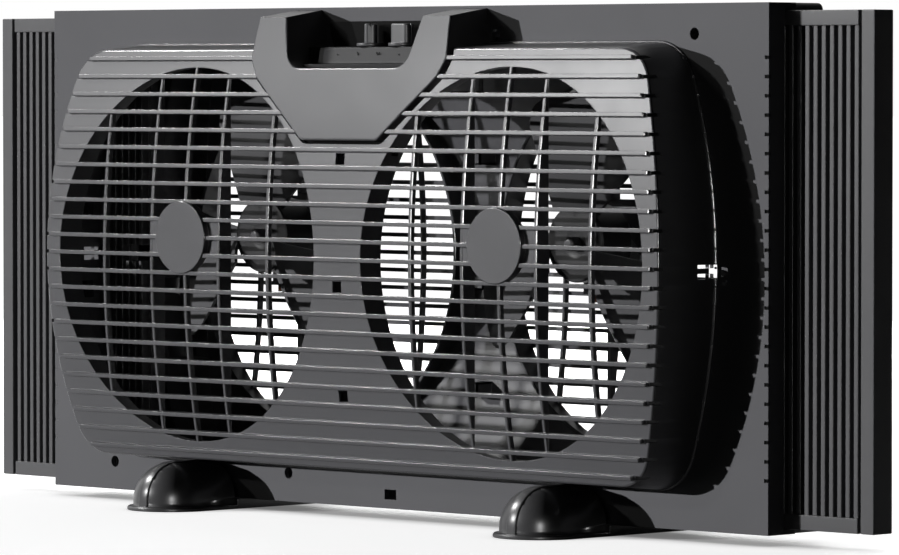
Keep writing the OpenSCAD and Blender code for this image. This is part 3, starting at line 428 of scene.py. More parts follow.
def toned(tree, value, color, low, high):
    """A colour whose tone follows a value from low to high."""
    ramp = added(tree, "ValToRGB", Fac=value)
    for element, share in zip(ramp.color_ramp.elements, (low, high)):
        element.color = (*[c * share for c in color], 1)
    return ramp.outputs["Color"]


EDGE_GLOSS = 0.4
EDGE_FROM, EDGE_TO = 0.25, 0.94
STREAKS = (0.15, 9.0, 0.15)


def edge_gloss(tree, roughness):
    """Roughness that falls on the rounding between a front face and a wall, as if polished by handling."""
    normal = added(tree, "NewGeometry").outputs["Normal"]
    facing = combined(tree, "ABSOLUTE", added(tree, "SeparateXYZ", Vector=normal).outputs["Y"])
    rounding_share = combined(tree, "MULTIPLY", combined(tree, "GREATER_THAN", facing, EDGE_FROM),
                              combined(tree, "LESS_THAN", facing, EDGE_TO))
    loss = combined(tree, "MULTIPLY", rounding_share, 1 - EDGE_GLOSS)
    return combined(tree, "MULTIPLY", roughness, combined(tree, "SUBTRACT", 1, loss))


def plastic(name, color, roughness, grain=0.03, specular=0.5, edge=0.35, polished=False):
    """Moulded plastic: fine grain, slow changes of gloss and tone, softened and perhaps polished edges."""
    material, tree, shader = node_material(name)
    rough = ranged(tree, noise(tree, 42, 5, 0.6), roughness - 0.05, roughness + 0.05)
    bump = added(tree, "Bump", Strength=grain, Distance=0.0002, Height=noise(tree, 2600, 2, 0.6))
    if edge:
        soft = added(tree, "Bevel", Radius=edge * MM)
        soft.samples = 4
        feed(tree, bump, Normal=soft.outputs["Normal"])
    feed(tree, shader, Base_Color=toned(tree, noise(tree, 9, 3, 0.55), color, 0.9, 1.1),
         Roughness=edge_gloss(tree, rough) if polished else rough, Specular_IOR_Level=specular,
         Normal=bump.outputs["Normal"])
    return material


def metal(name, color, roughness, stretch=None):
    """Bare metal with fine marks, drawn out into layers where it is stacked or wound."""
    material, tree, shader = node_material(name)
    marks = noise(tree, 350, 6, 0.65, stretch)
    bump = added(tree, "Bump", Strength=0.25, Distance=0.0001, Height=marks)
    feed(tree, shader, Base_Color=toned(tree, marks, color, 0.72, 1), Metallic=1.0,
         Roughness=ranged(tree, marks, roughness, roughness + 0.2), Normal=bump.outputs["Normal"])
    return material


CHARCOAL = plastic("charcoal_plastic", (0.051, 0.051, 0.055), 0.38, polished=True)
# Its own charcoal tone, lighter than the cover's and with little gloss: part of this base colour is painted
# sheen standing in for the frame's reflection.
FRAME_TONE_AND_SHEEN = plastic("frame_plastic", (0.086, 0.086, 0.091), 0.42, specular=0.07)
BEZEL_PLASTIC = plastic("bezel_plastic", (0.066, 0.066, 0.070), 0.40, specular=0.28, polished=True)
PANEL_PLASTIC = plastic("panel_plastic", (0.066, 0.066, 0.069), 0.42, specular=0.35)
FOOT_PLASTIC = plastic("foot_plastic", (0.050, 0.050, 0.052), 0.30, grain=0.01)
KNOB_PLASTIC = plastic("knob_plastic", (0.060, 0.060, 0.063), 0.4)
FAN_PLASTIC = plastic("fan_plastic", (0.064, 0.064, 0.067), 0.42, specular=0.25)
HUB_PLASTIC = plastic("hub_plastic", (0.026, 0.026, 0.027), 0.40, specular=0.2)
# Near-black: painted shade, used on the pocket's back sheet and on the backing behind the bezel's lower
# edge.
PAINTED_SHADE_BLACK = plastic("painted_shade_black", (0.005, 0.005, 0.005), 0.7, grain=0.04, specular=0.05, edge=0)
BLACK_PLASTIC = plastic("black_plastic", (0.016, 0.016, 0.017), 0.5, grain=0.04, specular=0.12)
RUBBER = plastic("soft_rubber", (0.016, 0.016, 0.016), 0.65, grain=0.08)
MARKING = plastic("marking", (0.010, 0.010, 0.010), 0.6, grain=0.02, edge=0)
STEEL = metal("steel", (0.50, 0.51, 0.53), 0.3)
LAMINATION = metal("lamination", (0.16, 0.16, 0.17), 0.4, STREAKS)
COPPER = metal("copper", (0.45, 0.16, 0.07), 0.35, STREAKS)
ZINC = metal("zinc", (0.32, 0.33, 0.34), 0.42)
BRONZE = metal("bronze", (0.45, 0.32, 0.15), 0.4)

SLOT_MATERIALS = {
    "frame_plastic": FRAME_TONE_AND_SHEEN, "bezel_plastic": BEZEL_PLASTIC, "knob_plastic": KNOB_PLASTIC,
    "black_plastic": BLACK_PLASTIC, "foot_plastic": FOOT_PLASTIC, "panel_plastic": PANEL_PLASTIC,
    "fan_plastic": FAN_PLASTIC, "soft_rubber": RUBBER, "steel": STEEL, "lamination": LAMINATION,
    "copper": COPPER, "zinc": ZINC, "bronze": BRONZE}


def dress_cad_nodes():
    """Gives every carried-over CAD node the material of its slot."""
    for part in frame["record"]["subparts"]:
        obj = frame["nodes"][part["node"]]
        obj.data.materials.clear()
        obj.data.materials.append(SLOT_MATERIALS[part["material_slot"]])


# ---- covers ----------------------------------------------------------------

def crossings(outline, levels):
    """Where a closed outline crosses each level, as pairs of (edge, share of that edge)."""
    found = []
    for z in levels:
        hits = []
        for i, (_, z0) in enumerate(outline):
            z1 = outline[(i + 1) % len(outline)][1]
            if (z0 - z) * (z1 - z) < 0:
                hits.append((i, (z - z0) / (z1 - z0)))
        if len(hits) == 2:
            found.append(hits)
    return found


def along(outline, edge, share):
    (x0, z0), (x1, z1) = outline[edge], outline[(edge + 1) % len(outline)]
    return (x0 + (x1 - x0) * share, z0 + (z1 - z0) * share)


def split(outline, pairs):
    """An outline with a point added at each crossing."""
    extra = {}
    for hits in pairs:
        for edge, share in hits:
            extra.setdefault(edge, []).append(share)
    out = []
    for i, p in enumerate(outline):
        out.append(p)
        out += [along(outline, i, share) for share in sorted(extra.get(i, []))]
    return out


def rungs(outline, pairs):
    """The lines that join the two crossings of each level."""
    return [[along(outline, *hit) for hit in hits] for hits in pairs]


def add_filled(form, outline, holes, y_of, lines=()):
    """Fills a flat outline but not its holes, carried onto y_of(z), with edges along the lines."""
    points, edges = [], []
    for loop in [outline] + holes:
        start = len(points)
        points += [Vector(p) for p in loop]
        edges += [(start + i, start + (i + 1) % len(loop)) for i in range(len(loop))]
    for a, b in lines:
        edges.append((len(points), len(points) + 1))
        points += [Vector(a), Vector(b)]
    verts, _, faces, _, _, _ = delaunay_2d_cdt(points, edges, [], 0, 1e-4)

    def inside(p, loop):
        hit = False
        for (x0, z0), (x1, z1) in zip(loop, loop[1:] + loop[:1]):
            if (z0 > p.y) != (z1 > p.y) and p.x < (x1 - x0) * (p.y - z0) / (z1 - z0) + x0:
                hit = not hit
        return hit

    made = {}
    for f in faces:
        middle = sum((verts[i] for i in f), Vector((0, 0))) / len(f)
        if not inside(middle, outline) or any(inside(middle, hole) for hole in holes):
            continue
        for i in f:
            if i not in made:
                made[i] = form.bm.verts.new((verts[i].x, y_of(verts[i].y), verts[i].y + MID_Z))
        form.bm.faces.new([made[i] for i in f])


def cover_shell():
    """The outer skin, inner skin, walls, lip and rings of a front cover, closed."""
    form = Form()
    top = COVER_EDGE_R
    levels = [(k + 0.5) * BAR_PITCH / 2 for k in range(-BAR_COUNT - 1, BAR_COUNT + 1)]
    steps = crossings(cover_outline(top), levels)

    def row(d, y_of):
        return lifted(split(cover_outline(d), steps), y_of)

    def inner_front(z):
        return dome_front(z) + COVER_WALL

    lip_front = -PLATE_Y - LIP_T
    foot = row(COVER_WALL - COVER_DRAFT, at_depth(-PLATE_Y))
    rows = [foot, row(-LIP_W, at_depth(-PLATE_Y)), row(-LIP_W, at_depth(lip_front + FINE_R)),
            row(FINE_R - LIP_W, at_depth(lip_front)), row(-COVER_DRAFT - 0.3, at_depth(lip_front)),
            row(-COVER_DRAFT, at_depth(lip_front - FINE_R))]
    form.loft(rows + dome_rim(row, top, 5), caps=(False, False))
    form.loft([foot, row(COVER_WALL, inner_front)], caps=(False, False))
    holes, inner_holes = [], []
    for s in (-1, 1):
        rim = circle(s * OPENING_X, 0, OPENING_R + OPENING_RIM, 120)
        cuts = crossings(rim, levels)

        def ring(r, y_of=None, s=s, cuts=cuts):
            loop = split(circle(s * OPENING_X, 0, r, 120), cuts)
            return lifted(loop, y_of) if y_of else loop

        outer_r = OPENING_R + RING_WALL
        back, back_rim = at_depth(-RING_END), at_depth(-RING_END - FINE_R)
        form.loft([ring(OPENING_R + OPENING_RIM, dome_front),
                   ring(OPENING_R + 0.15, lambda z: dome_front(z) + 0.2),
                   ring(OPENING_R, lambda z: dome_front(z) + 0.7), ring(OPENING_R, back_rim),
                   ring(OPENING_R + FINE_R, back), ring(outer_r - FINE_R, back),
                   ring(outer_r, back_rim), ring(outer_r, inner_front)], caps=(False, False))
        holes.append(ring(OPENING_R + OPENING_RIM))
        inner_holes.append(ring(outer_r))
    add_filled(form, split(cover_outline(top), steps), holes, dome_front, rungs(cover_outline(top), steps))
    add_filled(form, split(cover_outline(COVER_WALL), steps), inner_holes, inner_front)
    bmesh.ops.remove_doubles(form.bm, verts=form.bm.verts, dist=0.002)
    return form


def side_cuts():
    """Cutters on both sides: the notches at each bar, in the edge and in the lip, and the latch slots."""
    form = Form()
    for z in LEVELS:
        if abs(z) > CORNER_Z + CORNER_R * 0.8:
            continue
        w, y = cover_half_w(z), dome_front(z)
        wedge = [(w - NOTCH_W, y - 1), (w - NOTCH_W, y + 0.4), (w + 1, y + NOTCH_DEPTH), (w + 1, y - 1)]
        half = LIP_NOTCH_H / 2
        for s in (-1, 1):
            form.loft([[(s * x, v, MID_Z + z + h) for x, v in wedge] for h in (-NOTCH_H / 2, NOTCH_H / 2)])
            form.side_box(s, w + COVER_DRAFT + 0.2, w + 8, (-PLATE_Y - 2.4, MID_Z + z - half),
                          (-PLATE_Y - 0.5, MID_Z + z + half))
    x0, x1 = COVER_W / 2 - LATCH_IN, COVER_W / 2 + LATCH_OUT
    foot = -PLATE_Y - LIP_T - 0.5
    for s in (-1, 1):
        for z0, z1 in (LATCH_LOW, LATCH_HIGH):
            form.side_box(s, x0, x1, (-PLATE_Y - LATCH_L, MID_Z + z0), (foot, MID_Z + z1))
        form.side_box(s, x0, x1, (foot - LATCH_BASE, MID_Z + LATCH_LOW[0]),
                      (1 - PLATE_Y, MID_Z + LATCH_HIGH[1]))
    return form


def web_cuts():
    """Cutters of the three square holes in the web between the openings."""
    form = Form()
    for z in WEB_HOLES:
        form.box((-HOLE_W, -PANEL_FRONT - 5, MID_Z + z - HOLE_H),
                 (HOLE_W, 10 - PANEL_FRONT, MID_Z + z + HOLE_H), 0)
    return form


def add_cups(form):
    """A closed cup behind each hole of the web."""
    for z in WEB_HOLES:
        front = dome_front(z) + 1.5
        w, h, back = HOLE_W + CUP_WALL, HOLE_H + CUP_WALL, front + CUP_DEPTH
        for s in (-1, 1):
            form.side_box(s, HOLE_W, w, (front, MID_Z + z - h), (back, MID_Z + z + h))
            a, b = sorted((s * HOLE_H, s * h))
            form.box((-w, front, MID_Z + z + a), (w, back, MID_Z + z + b), 0)
        form.box((-w, back - CUP_WALL, MID_Z + z - h), (w, back, MID_Z + z + h), 0)


def bar_profile():
    """Section of a bar in depth and height: a flat front with round edges on a straight root."""
    r = BAR_H / 2
    low = [(BAR_R - BAR_PROUD - BAR_R * math.sin(a), BAR_R - r - BAR_R * math.cos(a))
           for a in [math.pi / 2 * i / 3 for i in range(4)]]
    return [(BAR_ROOT, -r)] + low + [(p, -q) for p, q in reversed(low)] + [(BAR_ROOT, r)]


def add_bar(form, z, x0, x1, round0, round1):
    """One bar with its open ends rounded off."""
    profile = bar_profile()
    tilt = math.asin(z / DOME_R)

    def section(x, share):
        row = []
        for p, q in profile:
            depth, height = BAR_ROOT - (BAR_ROOT - p) * share, q * min(1, share + 0.12)
            row.append((x, dome_front(z) + depth * math.cos(tilt) + height * math.sin(tilt),
                        MID_Z + z + height * math.cos(tilt) - depth * math.sin(tilt)))
        return row

    start = [(x0, 0.3), (x0 + 0.3, 0.8), (x0 + 1.0, 1)] if round0 else [(x0, 1)]
    end = [(x1 - 1.0, 1), (x1 - 0.3, 0.8), (x1, 0.3)] if round1 else [(x1, 1)]
    form.loft([section(x, share) for x, share in start + end])


def bar_runs(z, with_bezel):
    """Stretches of one bar: the whole width, or the two sides of the bezel."""
    w = cover_half_w(z) - BAR_GAP
    if not with_bezel or z < BEZEL_FOOT - BEZEL_GAP - BAR_H / 2:
        return [(-w, w, True, True)]
    outline = bezel_outline(0.3)
    reach = max(abs(x0 + (x1 - x0) * (z - z0) / (z1 - z0))
                for (x0, z0), (x1, z1) in zip(outline, outline[1:] + outline[:1])
                if z0 != z1 and min(z0, z1) <= z <= max(z0, z1))
    return [(-w, -reach, True, False), (reach, w, False, True)]


def add_ribs(form, s):
    """Upright ribs, deep fins, hub plate and centre disc of one opening."""
    cx = s * OPENING_X

    def upright(x, depth_of):
        reach = math.sqrt((OPENING_R + RING_WALL / 2) ** 2 - x * x)
        n, w = 28, RIB_W / 2
        rows = []
        for i in range(n + 1):
            z = -reach + 2 * reach * i / n
            y0, y1 = dome_front(z) + 0.05, depth_of(z)
            half = [(w - 0.5, y0), (w, y0 + 0.5), (w * 0.8, y1 - 0.4), (w * 0.4, y1)]
            section = half + [(-u, y) for u, y in reversed(half)]
            rows.append([(cx + x + u, y, MID_Z + z) for u, y in section])
        form.loft(rows)

    for x in RIB_XS:
        upright(x, lambda z: dome_front(z) + RIB_DEPTH)
    for x in (-FIN_X, FIN_X):
        upright(x, lambda z: max(-FIN_END, dome_front(z) + 1.2))
    form.box((cx - FIN_X, -PANEL_FRONT + 0.3, MID_Z),
             (cx + FIN_X, -PANEL_FRONT + RIB_DEPTH, MID_Z + 2 * BAR_PITCH), 0.3)
    form.prism(lambda d: circle(0, 0, DISC_R - d, 80), -PANEL_FRONT - DISC_PROUD, 1.5 - PANEL_FRONT,
               "y", 0.7, 0.2, (cx, FAN_Z))


def cover(name, node, rear):
    """A cover: the front one holds the bezel, the rear one is turned about and seats the motors."""
    shell = cover_shell().to_object("shell")
    cut(shell, side_cuts())
    cut(shell, web_cuts())
    if not rear:
        cut(shell, Form().run_y(bezel_outline(-BEZEL_GAP), -PANEL_FRONT - 6, 1 - PLATE_Y))
    form = Form()
    form.bm.from_mesh(shell.data)
    bpy.data.objects.remove(shell)
    detail = Form()
    for z in LEVELS:
        for x0, x1, r0, r1 in bar_runs(z, not rear):
            add_bar(detail, z, x0, x1, r0, r1)
    add_cups(detail)
    for s in (-1, 1):
        add_ribs(detail, s)
        if rear:
            cx = s * OPENING_X
            detail.box((cx - FIN_X, -FIN_END - MOTOR_SEAT_T, FAN_Z - MOTOR_SEAT_H / 2),
                       (cx + FIN_X, -FIN_END, FAN_Z + MOTOR_SEAT_H / 2), 0.4)
    bmesh.ops.recalc_face_normals(detail.bm, faces=detail.bm.faces)
    form.join(detail)
    obj = form.to_object(name)
    if rear:
        obj.data.transform(Matrix.Diagonal((1, -1, 1, 1)))
        obj.data.flip_normals()
    finish_piece(obj, name, CHARCOAL, "housing", [node], prouds=(0,),
                 side=-1 if rear else 1)


# ---- frame -----------------------------------------------------------------

def frame_half(node, cutter):
    """A frame half: its CAD node's own shape as a clean mesh, less a cutter."""
    name = node + "_look"
    obj = bpy.data.objects.new(name, frame["nodes"][node].data.copy())
    bpy.context.scene.collection.objects.link(obj)
    obj.data.transform(Matrix.Scale(1 / MM, 4))
    bm = bmesh.new()
    bm.from_mesh(obj.data)
    bmesh.ops.remove_doubles(bm, verts=bm.verts, dist=0.005)
    bmesh.ops.dissolve_limit(bm, angle_limit=math.radians(1.5), verts=bm.verts, edges=bm.edges)
    bm.to_mesh(obj.data)
    bm.free()
    cut(obj, cutter)
    finish_piece(obj, name, FRAME_TONE_AND_SHEEN, "housing", [node])


def rounded_corners(r):
    """Cutter that rounds the four outer corners of the rear frame."""
    form = Form()
    w, h = FRAME_HALF_W, (TOP_Z - BOTTOM_Z) / 2
    outline = arc(w - r, h - r, r, 0, 90, 6) + [(w - r, h + 1), (w + 1, h + 1), (w + 1, h - r)]
    for s in (-1, 1):
        for t in (-1, 1):
            form.run_y([(s * x, t * z) for x, z in outline], -1, PLATE_Y + 1)
    return form


def latch_windows():
    """Cutter of the front plate behind the two latch slots of the cover."""
    form = Form()
    for s in (-1, 1):
        form.side_box(s, COVER_W / 2 - WINDOW_IN, COVER_W / 2 + WINDOW_OUT,
                      (-PLATE_Y - 1, MID_Z + LATCH_LOW[0] - WINDOW_ROOM),
                      (8 - PLATE_Y, MID_Z + LATCH_HIGH[1] + WINDOW_ROOM))
    return form


# ---- control pocket --------------------------------------------------------

def domed_block(outline, proud, edge_r, y_back):
    """A closed block under the dome, its front rim rounded; outline(inset) gives its form."""
    form = Form()
    face = outline(edge_r)
    steps = crossings(face, [BEZEL_FOOT + FACE_PITCH * (k + 0.5) for k in range(15)])

    def row(d, y_of):
        return lifted(split(outline(d), steps), y_of)

    form.loft([row(0, at_depth(y_back))] + dome_rim(row, edge_r, 3, proud), caps=(True, False))
    add_filled(form, split(face, steps), [], lambda z: dome_front(z, proud), rungs(face, steps))
    bmesh.ops.remove_doubles(form.bm, verts=form.bm.verts, dist=0.002)
    return form


def above_ears(drop):
    """Cutter of what lies above the slope of the bezel's ears, lowered by drop."""
    y0 = dome_front(BEZEL_TOP)
    slope = EAR_RISE / (-PLATE_Y - y0)
    low, high, top = y0 - 20, 20 - PLATE_Y, MID_Z + BEZEL_TOP
    section = [(low, top - drop + slope * (low - y0)), (high, top - drop + slope * (high - y0)),
               (high, top + 40), (low, top + 40)]
    return Form().loft([[(x, y, z) for y, z in section] for x in (-120, 120)])


def bezel():
    """The collar around the control pocket: a rounded face, thin walls and the pocket's tunnel."""
    obj = domed_block(bezel_outline, BEZEL_PROUD, BEZEL_EDGE_R, -PLATE_Y).to_object("bezel")
    cut(obj, above_ears(0))
    hollow = domed_block(lambda d: bezel_outline(BEZEL_WALL + d), BEZEL_PROUD - BEZEL_WALL, 0.5,
                         1 - PLATE_Y).to_object("hollow")
    cut(hollow, above_ears(BEZEL_WALL))
    cut(hollow, Form().run_y(pocket_outline(-BEZEL_WALL), -PANEL_FRONT - 9, 3 - PLATE_Y))
    cut(obj, hollow, use_self=False)

    def mouth_row(d, y_of):
        return lifted(pocket_outline(-d), y_of)

    rim = 1.0
    rows = [mouth_row(rim, lambda z: dome_front(z, BEZEL_PROUD) - 4)]
    rows += reversed(dome_rim(mouth_row, rim, 3, BEZEL_PROUD))
    cut(obj, Form().loft(rows + [mouth_row(0, at_depth(1 - PLATE_Y))]))
    # the wall ends at the skirt's depth below the waist, and gives room to the deck
    cut(obj, Form().box((-120, BEZEL_SKIRT - PANEL_FRONT, 0), (120, 1 - PLATE_Y, MID_Z + BEZEL_WAIST), 0))
    cut(obj, Form().box((-42, -PLATE_Y - DECK_D, MID_Z + POCKET_FLOOR - BEZEL_WALL - 1),
                        (42, 1 - PLATE_Y, MID_Z + POCKET_FLOOR + 2), 0))
    finish_piece(obj, "bezel_look", BEZEL_PLASTIC, "housing", ["control_bezel"], 40,
                 prouds=(BEZEL_PROUD,))


def deck():
    """The stepped deck: a sloped fascia with a flat top, round corners and the marks of the dials."""
    low, fascia = POCKET_FLOOR + SEAT_GAP, -PLATE_Y - DECK_D
    front = fascia - DECK_SLOPE
    section = [(front - 8, low), (front + DECK_T, low), (fascia + DECK_T, DECK_Z - DECK_T),
               (-PLATE_Y - SEAT_GAP, DECK_Z - DECK_T), (-PLATE_Y - SEAT_GAP, DECK_Z)]
    r = DECK_EDGE_R
    section += [(fascia + r - r * math.sin(a), DECK_Z - r + r * math.cos(a))
                for a in [math.radians(25 * i) for i in range(4)]]
    section += [(front + 0.3, low + 3), (front - 0.6, low + 2.2), (front - 8, low + 2)]
    obj = Form().loft([[(x, y, z + MID_Z) for y, z in section] for x in (-60, 60)]).to_object("deck")
    cut(obj, Form().run_y(pocket_outline(SEAT_GAP), -PANEL_FRONT, -PLATE_Y), "INTERSECT", False)
    holes = Form()
    for x in DIAL_XS.values():
        top = MID_Z + DECK_Z
        holes.rod((x, -PLATE_Y - DIAL_Y), SPINDLE_R, top - DECK_T - 1, top + 1)
    cut(obj, holes)
    finish_piece(obj, "deck_look", BLACK_PLASTIC, "housing", ["control_deck"], 30)
    pocket_shade_sheet()
    deck_marks(fascia)


def pocket_shade_sheet():
    """A near-black sheet on the pocket's back, painted shade that stands in for a deep dark recess, and the
    backing behind the bezel's lower edge, a real closing piece in the same painted-shade black.
    """
    form = Form()
    form.prism(lambda d: rounded(inset(POCKET_SHADE_SHEET, d), POCKET_SHADE_SHEET_RADII, 4), -PLATE_Y - 0.6,
               0.3 - PLATE_Y, "y", 0.2, 0.1, (0, MID_Z))
    depth, foot = BACKING_D - PANEL_FRONT, MID_Z + BEZEL_FOOT
    form.box((-BACKING_W / 2, depth, foot - BACKING_H), (BACKING_W / 2, depth + 2, foot + 0.3), 0)
    finish_piece(form.to_object("back"), "pocket_shade_sheet", PAINTED_SHADE_BLACK, "housing", [])


def deck_marks(fascia):
    """Plain strokes on the deck's fascia, one group at each place of the dials."""
    form = Form()
    slope = DECK_SLOPE / (DECK_Z - POCKET_FLOOR)
    z = (POCKET_FLOOR + DECK_Z) / 2 + 1
    y = fascia - slope * (DECK_Z - z) - 0.15
    w = MARK_W / 2
    for x, height, strokes in MARKS:
        h = height / 2
        for t in strokes:
            form.loft([[(x + t + u, y - slope * v + depth, MID_Z + z + v)
                        for u, v in ((-w, -h), (w, -h), (w, h), (-w, h))] for depth in (0, MARK_T)])
    finish_piece(form.to_object("marks"), "deck_marks", MARKING, "housing", [])


def knob(name, x, turn):
    """A dial: a round flange and an upright grip split by its pointer's groove."""
    form = Form()
    form.rod((0, 0), DIAL_R, 0, 2, 0.6, 56)
    half_l, core = DIAL_R - 1, 1.2
    for s in (-1, 1):
        def grip(d, s=s):
            a, b, foot = GROOVE_W / 2 + d, GRIP_W / 2 - d, d + 0.3 - half_l
            points = [(a, foot)] + arc(b - GRIP_R, foot + GRIP_R, GRIP_R, -90, 0, 5)
            points += [(u, -v) for u, v in reversed(points)]
            return points if s > 0 else [(-u, v) for u, v in reversed(points)]
        form.prism(grip, 1, DIAL_H, "z", 0.1, 0.9)
    form.prism(lambda d: [(-core, d + core - half_l), (core, d + core - half_l), (core, half_l - core - d),
                          (-core, half_l - core - d)], 1, DIAL_H - 1.6, "z", 0, 0)
    form.bm.transform(Matrix.Rotation(math.radians(turn), 4, "Z"))
    form.bm.transform(Matrix.Translation((x, -PLATE_Y - DIAL_Y, MID_Z + DECK_Z + SEAT_GAP)))
    finish_piece(form.to_object(name), name + "_look", KNOB_PLASTIC, name.replace("knob", "dial"),
                 [name])


# ---- expander panels -------------------------------------------------------

def expander(side, s):
    """A panel: an outer bar, two rails, a ribbed skin between them and a notch for its catch."""
    low, high = (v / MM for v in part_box(f"{side}_expander"))
    y0, y1, z0, z1 = low.y, high.y, low.z, high.z
    x1 = high.x if s > 0 else -low.x
    x0 = x1 - PANEL_W
    form = Form()
    form.side_box(s, x1 - PANEL_BAR_W, x1, (y0, z0), (y1, z1), 0.7)
    for za, zb in ((z0, z0 + PANEL_RAIL_H), (z1 - PANEL_RAIL_H, z1)):
        form.side_box(s, x0, x1 - PANEL_BAR_W - 2.2, (y0, za), (y1, zb), 0.5)
        form.side_box(s, x1 - PANEL_BAR_W - 3, x1 - 1, (y0 + 2.5, za + 0.6), (y1 - 2.5, zb - 0.6))
    middle = (y0 + y1) / 2
    form.side_box(s, x0, x1 - 1, (middle - PANEL_SKIN / 2, z0 + 1), (middle + PANEL_SKIN / 2, z1 - 1))
    x = x1 - PANEL_BAR_W - PANEL_SLOT - PANEL_RIB_W
    while x >= x0 + 1:
        form.side_box(s, x, x + PANEL_RIB_W, (y0 + 1.2, z0 + PANEL_RAIL_H - 1),
                      (y1 - 1.2, z1 - PANEL_RAIL_H + 1), 0.6)
        x -= PANEL_RIB_PITCH
    obj = form.to_object(side)
    cut(obj, Form().side_box(s, x0 - 1, x0 + CATCH_L, (y0 - 1, MID_Z + LATCH_LOW[0] - WINDOW_ROOM),
                             (y1 + 1, MID_Z + LATCH_HIGH[1] + WINDOW_ROOM)))
    finish_piece(obj, f"{side}_expander_look", PANEL_PLASTIC, f"{side}_panel",
                 [f"{side}_expander"])


# ---- feet ------------------------------------------------------------------

def foot(side, s):
    """A foot: a domed nose to the front and one to the back on a flat base."""
    end = PLATE_Y + LIP_T + 1.4
    nose_z = FOOT_H - NOSE_R
    form = Form()

    def plan(r, y_end):
        """Round nose with straight sides, as a closed outline seen from above."""
        return [(r * math.sin(a), -PLATE_Y - NOSE_Y - r * math.cos(a))
                for a in [math.pi * (i / 32 - 0.5) for i in range(33)]] + [(r, y_end), (-r, y_end)]

    for turn in (1, -1):
        def level(r, z, y_end=-end, turn=turn):
            return [(turn * x, turn * y, z) for x, y in plan(r, y_end)]

        def nose(r, y_end, level=level):
            rise = [math.radians(6 * i) for i in range(15)]
            rows = [level(r * math.cos(a), nose_z + r * math.sin(a), y_end) for a in rise]
            return [level(r, 0, y_end)] + rows

        form.loft(nose(NOSE_R, -end) + [level(0.4, FOOT_H)], caps=(False, True))
        form.loft(nose(NOSE_R - FOOT_WALL, -end - 2), caps=(False, True))
        rim = [(-FOOT_WALL, 0), (FOOT_RIM_W - 0.5, 0), (FOOT_RIM_W, 0.5), (FOOT_RIM_W, FOOT_RIM_T - 0.9),
               (FOOT_RIM_W - 0.8, FOOT_RIM_T), (0.9, FOOT_RIM_T), (0.2, FOOT_RIM_T + 0.5),
               (-0.3, FOOT_RIM_T + 1.6)]
        form.loft([level(NOSE_R + out, z) for out, z in rim], caps=(False, False))
        add_band(form, turn, nose_z, end)
    rim_r = NOSE_R + FOOT_RIM_W
    form.box((-rim_r, -end - 1, 0), (rim_r, end + 1, BOTTOM_Z), 0.5)
    obj = form.to_object(side)
    holes = Form()
    for t in (-1, 1):
        holes.rod((0, FOOT_HOLE_Y * t), FOOT_HOLE_R, -1, 3, n=32)
    cut(obj, holes)
    obj.data.transform(Matrix.Translation((s * FOOT_X, 0, 0)))
    finish_piece(obj, f"{side}_foot_look", FOOT_PLASTIC, "housing", [f"{side}_foot"])


def add_band(form, turn, nose_z, end):
    """The raised band over a nose, from its rim up to the barrel's end."""
    half = FOOT_BAND_W / 2
    across = [(-half, -0.4), (-half + 0.15, 0.45), (-half + 0.6, 0.7), (0, 0.75),
              (half - 0.6, 0.7), (half - 0.15, 0.45), (half, -0.4)]
    path = [(0, z) for z in (FOOT_RIM_T - 1, nose_z)] + [(math.radians(5 * i), nose_z) for i in range(1, 19)]
    rows = []
    for a, z in path:
        row = []
        for x, lift in across:
            r = math.sqrt(NOSE_R ** 2 - x * x) + lift
            row.append((turn * x, -turn * (PLATE_Y + NOSE_Y + r * math.cos(a)), z + r * math.sin(a)))
        rows.append(row)
    rows.append([(x, -turn * (end + 0.2), z) for x, _, z in rows[-1]])
    form.loft(rows)


# ---- fans ------------------------------------------------------------------

def blade_surface(t, share, side):
    """A point of a blade: t runs round its sweep, share from its root to its tip."""
    width = TIP_R * math.radians(BLADE_SWEEP) * min(t, 1 - t)
    corner = BLADE_CORNER_R
    edge = TIP_R if width >= corner else TIP_R - corner + math.sqrt(corner ** 2 - (corner - width) ** 2)
    r = HUB_R - 2 + (edge - HUB_R + 2) * share
    y = BLADE_BACK + (BLADE_RISE + BLADE_TWIST * share ** TWIST_POWER) * (1 - t)
    y += BLADE_CAMBER * math.sin(math.pi * t) * share
    a = math.radians(BLADE_START + BLADE_SWEEP * t)
    thick = BLADE_T / 2 * (ROOT_SHARE_T - TAPER_SHARE_T * share)
    return Vector((r * math.cos(a), y + side * thick, r * math.sin(a)))


def add_blade(form, turn):
    cols, rows = 26, 18
    spin = Matrix.Rotation(math.radians(turn), 3, "Y")
    grid = {}
    for side in (-1, 1):
        for i in range(cols + 1):
            for j in range(rows + 1):
                grid[side, i, j] = form.bm.verts.new(spin @ blade_surface(i / cols, j / rows, side))
        for i in range(cols):
            for j in range(rows):
                q = [grid[side, i, j], grid[side, i + 1, j], grid[side, i + 1, j + 1], grid[side, i, j + 1]]
                form.bm.faces.new(q)
    loop = [(i, 0) for i in range(cols)] + [(cols, j) for j in range(rows)]
    loop += [(i, rows) for i in range(cols, 0, -1)] + [(0, j) for j in range(rows, 0, -1)]
    for (i, j), (k, m) in zip(loop, loop[1:] + loop[:1]):
        form.bm.faces.new([grid[-1, i, j], grid[-1, k, m], grid[1, k, m], grid[1, i, j]])


